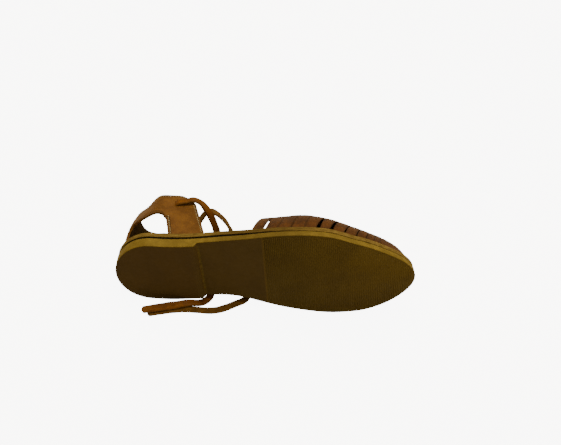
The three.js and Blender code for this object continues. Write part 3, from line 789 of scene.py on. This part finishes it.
# %% Midsole
midsole_rings = [
    (2.5, lambda x, y: groove_top(x) + CLEAR, 1),
    (0.7, lambda x, y: groove_top(x) + CLEAR, 0),
    (0.4, lambda x, y: groove_top(x) + CLEAR + 0.12, 0),
    (0.3, lambda x, y: groove_top(x) + CLEAR + 0.4, 0),
    (0.38, lambda x, y: groove_top(x) + CLEAR + 1.6, 0),
    (0.3, lambda x, y: midsole_top(x) - 1.6, 0),
    (0.3, lambda x, y: midsole_top(x) - 0.4, 0),
    (0.42, lambda x, y: midsole_top(x) - 0.12, 0),
    (0.8, lambda x, y: midsole_top(x), 0),
    (2.5, lambda x, y: midsole_top(x), 0),
]
midsole = sole_layer("midsole_leather", midsole_rings, [TAN_EDGE, GROOVE])
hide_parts("midsole")
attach(midsole, "root")


# %% Insole
def sock_leather():
    f = Finish("sock_leather")
    color = f.mix(f.noise(12, 4).rise(0.35, 0.7), paint(150, 112, 64), paint(172, 132, 80))
    # The foot has darkened the heel seat and the ball
    across = f.lay(1) / 30
    heel = ((((f.lay(0) - 34) / 34) ** 2) + across**2).fall(0.2, 1.2)
    ball = ((((f.lay(0) - 172) / 44) ** 2) + across**2).fall(0.2, 1.3)
    color = f.mix((heel + ball) * 0.45, color, paint(96, 64, 32))
    height = f.cells(0.8, feature="SMOOTH_F1") * 0.5 + f.noise(4, 3)
    return f.finish(color, 0.5 + f.noise(3, 2) * 0.2, height, 0.12)


SOCK_INSET = 3 + 2.2 + 2 * CLEAR
insole_rings = [
    (SOCK_INSET + 2, lambda x, y: midsole_top(x) + CLEAR, 0),
    (SOCK_INSET + 0.1, lambda x, y: midsole_top(x) + CLEAR, 0),
    (SOCK_INSET, lambda x, y: midsole_top(x) + CLEAR + 0.2, 0),
    (SOCK_INSET, lambda x, y: midsole_top(x) + CLEAR + 1.6, 0),
    (SOCK_INSET + 0.15, lambda x, y: midsole_top(x) + CLEAR + 1.88, 0),
    (SOCK_INSET + 0.5, lambda x, y: midsole_top(x) + CLEAR + 2, 0),
    (SOCK_INSET + 2, lambda x, y: midsole_top(x) + CLEAR + 2, 0),
]
insole = sole_layer("insole_sock", insole_rings, [sock_leather()])
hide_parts("insole")
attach(insole, "root")
print("sole layers:", *(len(layer.data.polygons) for layer in (outsole, midsole, insole)))

# %% [markdown]
# The front of the tread carries fine ribs across its width, from a line behind the ball
# to the toe. A ribbed sheet is the same rib again and again, so Geometry Nodes lays them:
# the points say where each rib's middle is and how far it reaches, and the tree puts a
# scaled round bar at each, half sunk in the rubber.


# %% A node group with named inputs
def node_group(name, inputs):
    tree = bpy.data.node_groups.new(name, "GeometryNodeTree")
    tree.interface.new_socket("Geometry", in_out="INPUT", socket_type="NodeSocketGeometry")
    for label, kind, value in inputs:
        socket = tree.interface.new_socket(label, in_out="INPUT", socket_type=kind)
        if value is not None:
            socket.default_value = value
    tree.interface.new_socket("Geometry", in_out="OUTPUT", socket_type="NodeSocketGeometry")
    return tree, tree.nodes.new("NodeGroupInput"), tree.nodes.new("NodeGroupOutput")


def grow(name, source, tree, values):
    """Runs a tree on a source mesh in shoe millimetres and keeps the plain mesh it makes."""
    seed = bpy.data.objects.new(name + "_source", source)
    bpy.context.scene.collection.objects.link(seed)
    modifier = seed.modifiers.new("grow", "NODES")
    modifier.node_group = tree
    for item in tree.interface.items_tree:
        if item.in_out == "INPUT" and item.name in values:
            modifier[item.identifier] = values[item.name]
    bpy.context.view_layer.update()
    grown = seed.evaluated_get(bpy.context.evaluated_depsgraph_get())
    mesh = bpy.data.meshes.new_from_object(grown)
    mesh.name = name
    seed.modifiers.remove(modifier)
    bpy.data.objects.remove(seed)
    flat = np.empty(len(mesh.vertices) * 3)
    mesh.vertices.foreach_get("co", flat)
    points = flat.reshape(-1, 3)
    if "lay" in mesh.attributes:
        mesh.attributes.remove(mesh.attributes["lay"])
    kept = mesh.attributes.new("lay", "FLOAT_VECTOR", "POINT")
    kept.data.foreach_set("vector", points.astype(np.float32).ravel())
    mesh.vertices.foreach_set("co", on_floor(points).ravel())
    mesh.polygons.foreach_set("use_smooth", np.ones(len(mesh.polygons), bool))
    mesh.update()
    piece = bpy.data.objects.new(name, mesh)
    bpy.context.scene.collection.objects.link(piece)
    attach(piece, "root")
    return piece


# %% The ribbing tree
def ribbing_tree():
    inputs = [
        ("Rib width", "NodeSocketFloat", 0.9),
        ("Rib height", "NodeSocketFloat", 0.25),
        ("Skew", "NodeSocketFloat", 0.07),
        ("Rubber", "NodeSocketMaterial", None),
    ]
    tree, given, out = node_group("tread_ribs", inputs)
    add, link = tree.nodes.new, tree.links.new
    bar = add("GeometryNodeMeshCylinder")
    bar.inputs["Vertices"].default_value = 8
    bar.inputs["Radius"].default_value = 0.5
    bar.inputs["Depth"].default_value = 2.0
    lying = add("GeometryNodeTransform")
    lying.inputs["Rotation"].default_value = (math.pi / 2, 0, 0)
    link(bar.outputs["Mesh"], lying.inputs["Geometry"])
    reach = add("GeometryNodeInputNamedAttribute")
    reach.data_type = "FLOAT"
    reach.inputs["Name"].default_value = "reach"
    size = add("ShaderNodeCombineXYZ")
    link(given.outputs["Rib width"], size.inputs["X"])
    link(reach.outputs["Attribute"], size.inputs["Y"])
    doubled = add("ShaderNodeMath")
    doubled.operation = "MULTIPLY"
    doubled.inputs[1].default_value = 2.0
    link(given.outputs["Rib height"], doubled.inputs[0])
    link(doubled.outputs[0], size.inputs["Z"])
    turn = add("ShaderNodeCombineXYZ")
    back = add("ShaderNodeMath")
    back.operation = "MULTIPLY"
    back.inputs[1].default_value = -1.0
    link(given.outputs["Skew"], back.inputs[0])
    link(back.outputs[0], turn.inputs["Z"])
    put = add("GeometryNodeInstanceOnPoints")
    link(given.outputs["Geometry"], put.inputs["Points"])
    link(lying.outputs["Geometry"], put.inputs["Instance"])
    link(size.outputs[0], put.inputs["Scale"])
    link(turn.outputs[0], put.inputs["Rotation"])
    real = add("GeometryNodeRealizeInstances")
    link(put.outputs["Instances"], real.inputs["Geometry"])
    paint_it = add("GeometryNodeSetMaterial")
    link(real.outputs["Geometry"], paint_it.inputs["Geometry"])
    link(given.outputs["Rubber"], paint_it.inputs["Material"])
    link(paint_it.outputs["Geometry"], out.inputs["Geometry"])
    return tree


# %% Lay the ribs
def lay_ribs():
    pitch, skew = 1.55, RIB_SKEW
    middles = np.arange(RIB_START, 249.0, pitch)
    inset = 1.6
    points, reach = [], []
    for x in middles:
        ends = []
        for side in (-1, 1):
            at = x
            for _ in range(8):
                at = min(x + skew * float(edge(at, side, inset)), SOLE - inset)
            ends.append((at, float(edge(at, side, inset))))
        half = (ends[1][1] - ends[0][1]) / 2
        if half > 3:
            middle = (ends[1][1] + ends[0][1]) / 2
            points.append((x + skew * middle, middle, float(sheet_under(np.array(x)))))
            reach.append(half)
    source = bpy.data.meshes.new("rib_middles")
    source.from_pydata(points, [], [])
    source.attributes.new("reach", "FLOAT", "POINT").data.foreach_set("value", reach)
    values = {"Rib width": 0.95, "Rib height": 0.22, "Skew": skew, "Rubber": TREAD}
    ribs = grow("tread_ribs", source, ribbing_tree(), values)
    print("ribs:", len(points))


lay_ribs()

# %% [markdown]
# ## Vamp
# The vamp is the woven front. Straps start at both edges of the sole, lean forward as they
# climb, and cross over and under each other along the top of the foot. The surface that
# they follow is the last's: at each place along the foot it is a rounded arch between the
# two edges of the sole.

# %% Surface of the last over the forefoot
STRAP, FIRST_STRAP, STRAPS, PITCH, LEAN = 1.0, 117.0, 11, 11.0, 44.0
VAMP_INSET = 3 + 0.9
VAMP_TIP = SOLE - VAMP_INSET
RIDGE = np.array(
    [
        (0.44, 1.02, 0.09),
        (0.51, 1.01, 0.07),
        (0.556, 1.01, 0.05),
        (0.6, 1, 0.02),
        (0.64, 0.98, 0.006),
        (0.68, 0.93, 0),
        (0.762, 0.85, 0),
        (0.845, 0.71, 0),
        (0.9, 0.64, 0),
        (1, 0.52, 0),
    ]
)
FOOT_GAPS = [0.14, 0.02, 0.02, 0.02, 0.28, 0.28, 0.1, 0.12, 0.06, 0.04]


def last_surface(x, across):
    """A point of the last, across from 0 on the lateral edge to 1 on the medial one."""
    x = np.minimum(x, VAMP_TIP)
    lateral, medial = edge(x, -1, VAMP_INSET), edge(x, 1, VAMP_INSET)
    angle = np.pi * (1 - np.clip(across, 0, 1))
    toe = np.clip(1 - (VAMP_TIP - x) / 27.5, 0, 1)
    height = through(RIDGE, 1, x / SOLE) * 46 * np.sqrt(1 - toe**2.2)
    rise = np.abs(np.sin(angle)) ** (2 / 2.2)
    reach = np.sign(np.cos(angle)) * np.abs(np.cos(angle)) ** (2 / 2.2)
    ridge = through(RIDGE, 2, x / SOLE) * BALL_WIDTH
    y = (lateral + medial) / 2 + (medial - lateral) / 2 * reach + ridge * rise
    return np.stack([x, y, midsole_top(x) + height * rise], axis=-1)


def last_point(x, across, level):
    """The same point, moved out along the surface's normal."""
    near, inward = np.minimum(x, VAMP_TIP - 0.3), np.clip(across, 0.002, 0.998)
    ahead = last_surface(near + 0.2, inward) - last_surface(near - 0.2, inward)
    over = last_surface(near, inward + 0.002) - last_surface(near, inward - 0.002)
    normal = units(np.cross(ahead, over))
    return last_surface(x, across) + normal * np.asarray(level)[..., None]


def packed(t):
    """The straps lie closer together towards the toe."""
    room = VAMP_TIP - 190
    return np.where(t < 190, t, 190 + room * (1 - np.exp((190 - t) / room)))


# %% [markdown]
# A strap is a long grid of points. Its height above the last follows the weave: up where it
# passes over another strap, down where it passes under, with quick steps between. Beyond
# its last crossing it dives under its neighbours, where a maker would tuck it in. Solidify
# then gives the strip its thickness, with a finish of its own for the grain side, the flesh
# side and the cut edge, and Bevel softens the cut.


# %% Give a thin sheet its leather thickness
def leather_sheet(piece, thickness, offset, soft=0.35):
    """Solidify and Bevel: the finishes are grain, flesh and cut edge, in that order."""
    wall = piece.modifiers.new("wall", "SOLIDIFY")
    wall.thickness = thickness / 1000
    wall.offset = offset
    wall.use_even_offset = True
    wall.material_offset = 1
    wall.material_offset_rim = 2
    bevel = piece.modifiers.new("soft_edge", "BEVEL")
    bevel.width = soft / 1000
    bevel.segments = 2
    bevel.limit_method = "ANGLE"
    bevel.angle_limit = math.radians(50)
    return piece


def grid_faces(rows, columns, flip=False, start=0):
    faces = []
    for r in range(rows - 1):
        for c in range(columns - 1):
            a = start + r * columns + c
            loop = (a, a + 1, a + columns + 1, a + columns)
            faces.append(loop[::-1] if flip else loop)
    return faces


def outward(points, faces, inside):
    """True if the grid's middle face looks away from a point."""
    loop = np.array([points[v] for v in faces[len(faces) // 2]])
    normal = np.cross(loop[1] - loop[0], loop[2] - loop[0])
    return float(normal @ (loop.mean(axis=0) - inside)) > 0


# %% Weave one strap
WEAVE_GAP, WEAVE_RISE = 0.6, 0.4
SPREAD = np.array([-1, -0.94, -0.8, -0.5, -0.2, 0.2, 0.5, 0.8, 0.94, 1])


def strap_grid(own, side):
    others = [k for k in (own - 1, own, own + 1) if 0 <= k < STRAPS]
    middle = FIRST_STRAP + PITCH * own
    first, last = (FIRST_STRAP + PITCH * others[i] for i in (0, -1))
    behind, ahead = (FOOT_GAPS[min(max(k, 0), len(FOOT_GAPS) - 1)] * PITCH for k in (own - 1, own))
    woven = middle + SPREAD * (PITCH - WEAVE_GAP) / 2
    foot = middle + np.interp(SPREAD, [-1, 1], [(behind - PITCH) / 2, (PITCH - ahead) / 2])
    stop = last + (4.6 if side < 0 else 9.5)
    share = np.linspace(0, 1, 84)[:, None]
    across = share * (0.5 + (stop - woven) / (2 * LEAN))
    climb = np.clip(across / (0.5 + (first - 5 - woven) / (2 * LEAN)), 0, 1)
    t = foot + (woven - foot) * climb + LEAN * across
    meets = woven + 2 * LEAN * across - LEAN
    wave = np.cos(np.pi * (meets - middle) / PITCH) * side * -1
    level = WEAVE_RISE * np.tanh(4 * wave) - 0.1
    level *= ease((meets - (first - 8.5)) / 3.4)
    if side > 0:
        dive = ease((meets - (last + 3.6)) / 4.2)
        level = level * (1 - dive) - 1.8 * dive
    # Leather bulges a little along its middle, and no two straps lie quite alike
    bulge = 0.16 * (1 - SPREAD**2) * np.minimum(1, share * 8)
    sway = 0.18 * math.sin(own * 2.3 + side) * np.sin(share * 7 + own)
    return packed(t + sway), across if side < 0 else 1 - across, level + bulge


def weave_strap(own, side):
    x, across, level = strap_grid(own, side)
    points = last_point(x, across, level)
    rows, columns = x.shape
    flat = points.reshape(-1, 3)
    faces = grid_faces(rows, columns)
    if not outward(flat, faces, np.array([x.mean(), 0, 25.0])):
        faces = [face[::-1] for face in faces]
    middle_line = points[:, columns // 2]
    run = np.concatenate([[0], np.cumsum(np.linalg.norm(np.diff(middle_line, axis=0), axis=1))])
    lay = np.zeros((rows, columns, 3))
    width = np.linalg.norm(points[:, -1] - points[:, 0], axis=1)[:, None] / 2
    lay[..., 0] = run[:, None] + 61 * own + (700 if side > 0 else 0)
    lay[..., 1] = SPREAD * width
    lay[..., 2] = (1 - np.abs(SPREAD)) * width
    name = f"vamp_strap_{'lateral' if side < 0 else 'medial'}_{own + 1:02d}"
    finishes = [VAMP_LEATHER, VAMP_FLESH, VAMP_EDGE]
    strap = make_piece(name, on_floor(flat), faces, lay.reshape(-1, 3), finishes)
    leather_sheet(strap, STRAP, 0)
    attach(strap, "root")
    return strap


straps = [weave_strap(own, side) for side in (-1, 1) for own in range(STRAPS)]
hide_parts("vamp")
print("straps:", len(straps), "faces each:", len(straps[0].data.polygons))


# %% [markdown]
# The toe is closed by one moulded piece. It starts under the last pair of straps and is
# drawn down over the last to the edge of the sole.


# %% Toe piece
def make_toe():
    across = (1 - np.cos(np.linspace(0, np.pi, 75))) / 2
    shares = 1 - (1 - np.linspace(0, 1, 40)) ** 1.6
    inner = np.minimum(across, 1 - across)
    front = FIRST_STRAP + PITCH * (STRAPS - 1) + (PITCH - WEAVE_GAP) / 2 + LEAN * inner
    start = packed(front - 6)
    edge_line = packed(front)
    x = start + (VAMP_TIP - start) * shares[:, None]
    level = -1.25 + 1.4 * ease((x - edge_line + 0.9) / 2.6)
    level += 0.12 * np.sin(x / 3.1) * np.sin(across * 9) * (1 - shares[:, None])
    points = last_point(x, np.broadcast_to(across, x.shape), level).reshape(-1, 3)
    faces = grid_faces(*x.shape)
    if not outward(points, faces, np.array([200.0, 0, 25.0])):
        faces = [face[::-1] for face in faces]
    lay = np.zeros((*x.shape, 3))
    lay[..., 0] = x + 1500
    lay[..., 1] = across * 110
    lay[..., 2] = np.minimum(points[:, 2].reshape(x.shape) - midsole_top(x) + 1.2, 30)
    toe = make_piece(
        "vamp_toe", on_floor(points), faces, lay.reshape(-1, 3),
        [VAMP_LEATHER, VAMP_FLESH, VAMP_EDGE], None, 2e-5,
    )
    leather_sheet(toe, STRAP, 0)
    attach(toe, "root")


make_toe()

# %% [markdown]
# ## Quarter
# The quarter is cut from one hide: a strip up the back of the heel, a band round it, and a
# panel down to the sole on each side, with an open window between. The table gives lines
# from the heel's back to the panel's front: where each starts at the sole and ends at the
# top, the height of the window there and the height of the topline.

# %% Shape of the quarter
WALL, QUARTER_HEIGHT, QUARTER_FRONT, LEDGE = 2.2, 57.6, 74.0, 3.0
SLIT_LOW, SLIT_HIGH = 0.535, 0.69
SAG, SAG_FORWARD, SAG_END = 7.5, 0.6, 0.58
QUARTER_RADIUS = HEEL_ROUND - LEDGE
QUARTER_RUN = math.pi / 2 * QUARTER_RADIUS + QUARTER_FRONT - HEEL_ROUND
QUARTER = np.array(
    [
        (0, 0, 0.33, 0.97),
        (0.09, 0.03, 0.33, 0.97),
        (0.175, 0.075, 0.36, 0.972),
        (0.21, 0.12, 0.44, 0.975),
        (0.25, 0.17, 0.47, 0.977),
        (0.33, 0.25, 0.48, 0.98),
        (0.42, 0.34, 0.5, 0.985),
        (0.52, 0.43, 0.542, 0.99),
        (0.58, 0.475, 0.545, 0.995),
        (0.625, 0.51, 0.51, 1),
        (0.652, 0.536, 0.42, 1),
        (0.703, 0.625, 0.45, 1),
        (0.767, 0.689, 0.46, 0.997),
        (0.82, 0.73, 0.46, 0.988),
        (0.875, 0.765, 0.46, 0.957),
        (0.925, 0.796, 0.45, 0.905),
        (0.965, 0.824, 0.43, 0.845),
        (1, 0.847, 0.4, 0.75),
    ]
)
WINDOW_FROM, WINDOW_TO, SLIT_FROM, SLIT_TO = 0.175, 0.652, 0.732, 0.767


def quarter_surface(around, height):
    side = np.where(around < 0, -1, 1)
    angle = np.abs(around) / QUARTER_RADIUS
    turned = np.minimum(angle, np.pi / 2)
    x = LEDGE + QUARTER_RADIUS * (1 - np.cos(turned) + np.maximum(0, angle - np.pi / 2))
    lean = np.clip(height / QUARTER_HEIGHT, 0, 1)
    back = 8 * lean**3 * np.cos(turned) ** 2
    inward = np.where(side < 0, 1, 6.5) * lean**2 * np.sin(turned)
    # The lateral side has nothing under it, so its collar sags in round the heel's corner
    corner = np.sin(np.pi * np.minimum(np.abs(around) / (SAG_END * QUARTER_RUN), 1)) ** 2
    sag = np.where(side < 0, SAG, 0) * lean**2 * corner
    middle = float(edge(HEEL_ROUND, -1, 0) + edge(HEEL_ROUND, 1, 0)) / 2
    flat = np.maximum(x, HEEL_ROUND)
    outline = np.where(side < 0, edge(flat, -1, LEDGE), edge(flat, 1, LEDGE))
    y = middle + side * (np.abs(outline - middle) * np.sin(turned) - inward - sag)
    return np.stack([x + back + sag * SAG_FORWARD, y, midsole_top(x) + CLEAR + height], axis=-1)


def quarter_spot(foot, height_share):
    """Where a line of the table is at a height: how far round it has gone."""
    top = through(QUARTER, 1, foot)
    return (foot + (top - foot) * height_share) * QUARTER_RUN


# %% Cut the quarter with its windows and its slit
def quarter_rows():
    low = np.linspace(0, 1, 13)[:-1]
    marks = [0, 0.25, SLIT_LOW, SLIT_HIGH, 0.86, 1]
    high = [np.linspace(a, b, 5)[:-1] for a, b in zip(marks, marks[1:])]
    return low, np.concatenate([*high, [1.0]])


def make_quarter():
    fine = np.arange(0, 1.0001, 0.0125)
    marks = np.sort(np.append(QUARTER[:, 0], SLIT_FROM))
    far = fine[np.min(np.abs(fine[:, None] - marks), axis=1) > 0.005]
    feet = np.sort(np.concatenate([far, marks]))
    low, high = quarter_rows()
    lines = np.concatenate([-feet[:0:-1], feet])
    grid = np.zeros((len(lines), len(low) + len(high), 3))
    for i, line in enumerate(lines):
        foot, side = abs(line), -1 if line < 0 else 1
        window, rim = through(QUARTER, 2, foot), through(QUARTER, 3, foot)
        shares = np.concatenate([window * low, window + (rim - window) * high])
        around = quarter_spot(foot, shares) * side
        grid[i] = np.stack([around, shares * QUARTER_HEIGHT, np.zeros_like(shares)], axis=1)
    points = quarter_surface(grid[..., 0], grid[..., 1])
    rows = grid.shape[1]
    faces = []
    first_slit = len(low) + int(np.argmin(np.abs(high - SLIT_LOW)))
    last_slit = len(low) + int(np.argmin(np.abs(high - SLIT_HIGH)))
    for i in range(len(lines) - 1):
        a, b = sorted(np.abs(lines[[i, i + 1]]))
        in_window = a >= WINDOW_FROM - 1e-9 and b <= WINDOW_TO + 1e-9
        in_slit = lines[i] < 0 and a >= SLIT_FROM - 1e-9 and b <= SLIT_TO + 1e-9
        for r in range(rows - 1):
            if in_window and r < len(low):
                continue
            if in_slit and first_slit <= r < last_slit:
                continue
            near_corner, far_corner = i * rows + r, (i + 1) * rows + r
            faces.append((near_corner, far_corner, far_corner + 1, near_corner + 1))
    flat = points.reshape(-1, 3)
    if not outward(flat, faces, np.array([45.0, 0, 45.0])):
        faces = [face[::-1] for face in faces]
    used = np.unique(np.array(faces))
    renumber = {int(v): k for k, v in enumerate(used)}
    faces = [tuple(renumber[v] for v in face) for face in faces]
    rim_gap = (through(QUARTER, 3, np.abs(lines))[:, None] * QUARTER_HEIGHT) - grid[..., 1]
    line_at = np.abs(lines)[:, None]
    front_gap = (1 - line_at) * QUARTER_RUN
    beside = np.maximum(np.maximum(WINDOW_FROM - line_at, line_at - WINDOW_TO), 0) * QUARTER_RUN
    topline_height = through(QUARTER, 2, np.abs(lines))[:, None] * QUARTER_HEIGHT
    above = np.maximum(grid[..., 1] - topline_height, 0)
    lay = grid.copy()
    lay[..., 2] = np.minimum(np.minimum(rim_gap, front_gap), np.hypot(beside, above))
    quarter = make_piece(
        "quarter_panel",
        on_floor(flat[used]),
        faces,
        lay.reshape(-1, 3)[used],
        [QUARTER_LEATHER, QUARTER_LINING, QUARTER_EDGE],
    )
    leather_sheet(quarter, WALL, -1, 0.45)
    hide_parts("quarter")
    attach(quarter, "root")
    return quarter


quarter_panel = make_quarter()
print("quarter faces:", len(quarter_panel.data.polygons))

# %% [markdown]
# Rows of light thread hold the lining to the quarter: along the topline and down both
# edges of each panel. A stitch is a tiny grain of thread that dips in and out of the hide.
# Geometry Nodes walk each line at an even pitch and lay a grain along it.


# %% The stitching tree
def stitching_tree():
    inputs = [
        ("Pitch", "NodeSocketFloat", 1.9),
        ("Stitch length", "NodeSocketFloat", 1.2),
        ("Thread", "NodeSocketFloat", 0.5),
        ("Seed", "NodeSocketInt", 4),
        ("Waxed thread", "NodeSocketMaterial", None),
    ]
    tree, given, out = node_group("stitch_row", inputs)
    add, link = tree.nodes.new, tree.links.new
    curve = add("GeometryNodeMeshToCurve")
    link(given.outputs["Geometry"], curve.inputs["Mesh"])
    even = add("GeometryNodeResampleCurve")
    even.mode = "LENGTH"
    link(curve.outputs["Curve"], even.inputs["Curve"])
    link(given.outputs["Pitch"], even.inputs["Length"])
    tangent = add("GeometryNodeInputTangent")
    aim = add("FunctionNodeAlignEulerToVector")
    aim.axis = "X"
    link(tangent.outputs["Tangent"], aim.inputs["Vector"])
    grain = add("GeometryNodeMeshUVSphere")
    grain.inputs["Segments"].default_value = 8
    grain.inputs["Rings"].default_value = 6
    grain.inputs["Radius"].default_value = 0.5
    size = add("ShaderNodeCombineXYZ")
    link(given.outputs["Stitch length"], size.inputs["X"])
    link(given.outputs["Thread"], size.inputs["Y"])
    link(given.outputs["Thread"], size.inputs["Z"])
    shaped = add("GeometryNodeTransform")
    link(grain.outputs["Mesh"], shaped.inputs["Geometry"])
    link(size.outputs[0], shaped.inputs["Scale"])
    uneven = add("FunctionNodeRandomValue")
    uneven.inputs[2].default_value = 0.85
    uneven.inputs[3].default_value = 1.12
    link(given.outputs["Seed"], uneven.inputs["Seed"])
    put = add("GeometryNodeInstanceOnPoints")
    link(even.outputs["Curve"], put.inputs["Points"])
    link(shaped.outputs["Geometry"], put.inputs["Instance"])
    link(aim.outputs["Rotation"], put.inputs["Rotation"])
    link(uneven.outputs[1], put.inputs["Scale"])
    real = add("GeometryNodeRealizeInstances")
    link(put.outputs["Instances"], real.inputs["Geometry"])
    paint_it = add("GeometryNodeSetMaterial")
    link(real.outputs["Geometry"], paint_it.inputs["Geometry"])
    link(given.outputs["Waxed thread"], paint_it.inputs["Material"])
    link(paint_it.outputs["Geometry"], out.inputs["Geometry"])
    return tree


def waxed_thread():
    f = Finish("waxed_thread")
    twist = f.noise(0.3, 2)
    color = f.mix(f.noise(2, 2), paint(196, 180, 140), paint(230, 216, 178))
    return f.finish(color, 0.7, twist, 0.08)


# %% Sew the quarter
def stitch_lines():
    """Rows of points on the quarter's outer face, in shoe millimetres."""
    rows = []
    for side in (-1, 1):
        heights = np.linspace(0.03, 0.72, 60)
        for foot, shift in ((1.0, -SEAM), (WINDOW_TO, SEAM)):
            top = 0.72 if foot == 1.0 else 0.47
            shares = heights[heights < top]
            around = (quarter_spot(foot, shares) + shift) * side
            rows.append(quarter_surface(around, shares * QUARTER_HEIGHT))
    feet = np.linspace(-0.985, 0.985, 240)
    rim = through(QUARTER, 3, np.abs(feet)) - SEAM / QUARTER_HEIGHT
    around = quarter_spot(np.abs(feet), rim) * np.sign(feet)
    rows.append(quarter_surface(around, rim * QUARTER_HEIGHT))
    return rows


def sew_quarter():
    tree, thread = stitching_tree(), waxed_thread()
    points, joins = [], []
    for row in stitch_lines():
        start = len(points)
        points += row.tolist()
        joins += [(start + k, start + k + 1) for k in range(len(row) - 1)]
    source = bpy.data.meshes.new("stitch_lines")
    source.from_pydata(points, joins, [])
    values = {"Pitch": 2.2, "Stitch length": 1.1, "Thread": 1.0, "Seed": 4, "Waxed thread": thread}
    stitches = grow("quarter_stitches", source, tree, values)
    print("stitch faces:", len(stitches.data.polygons))


sew_quarter()
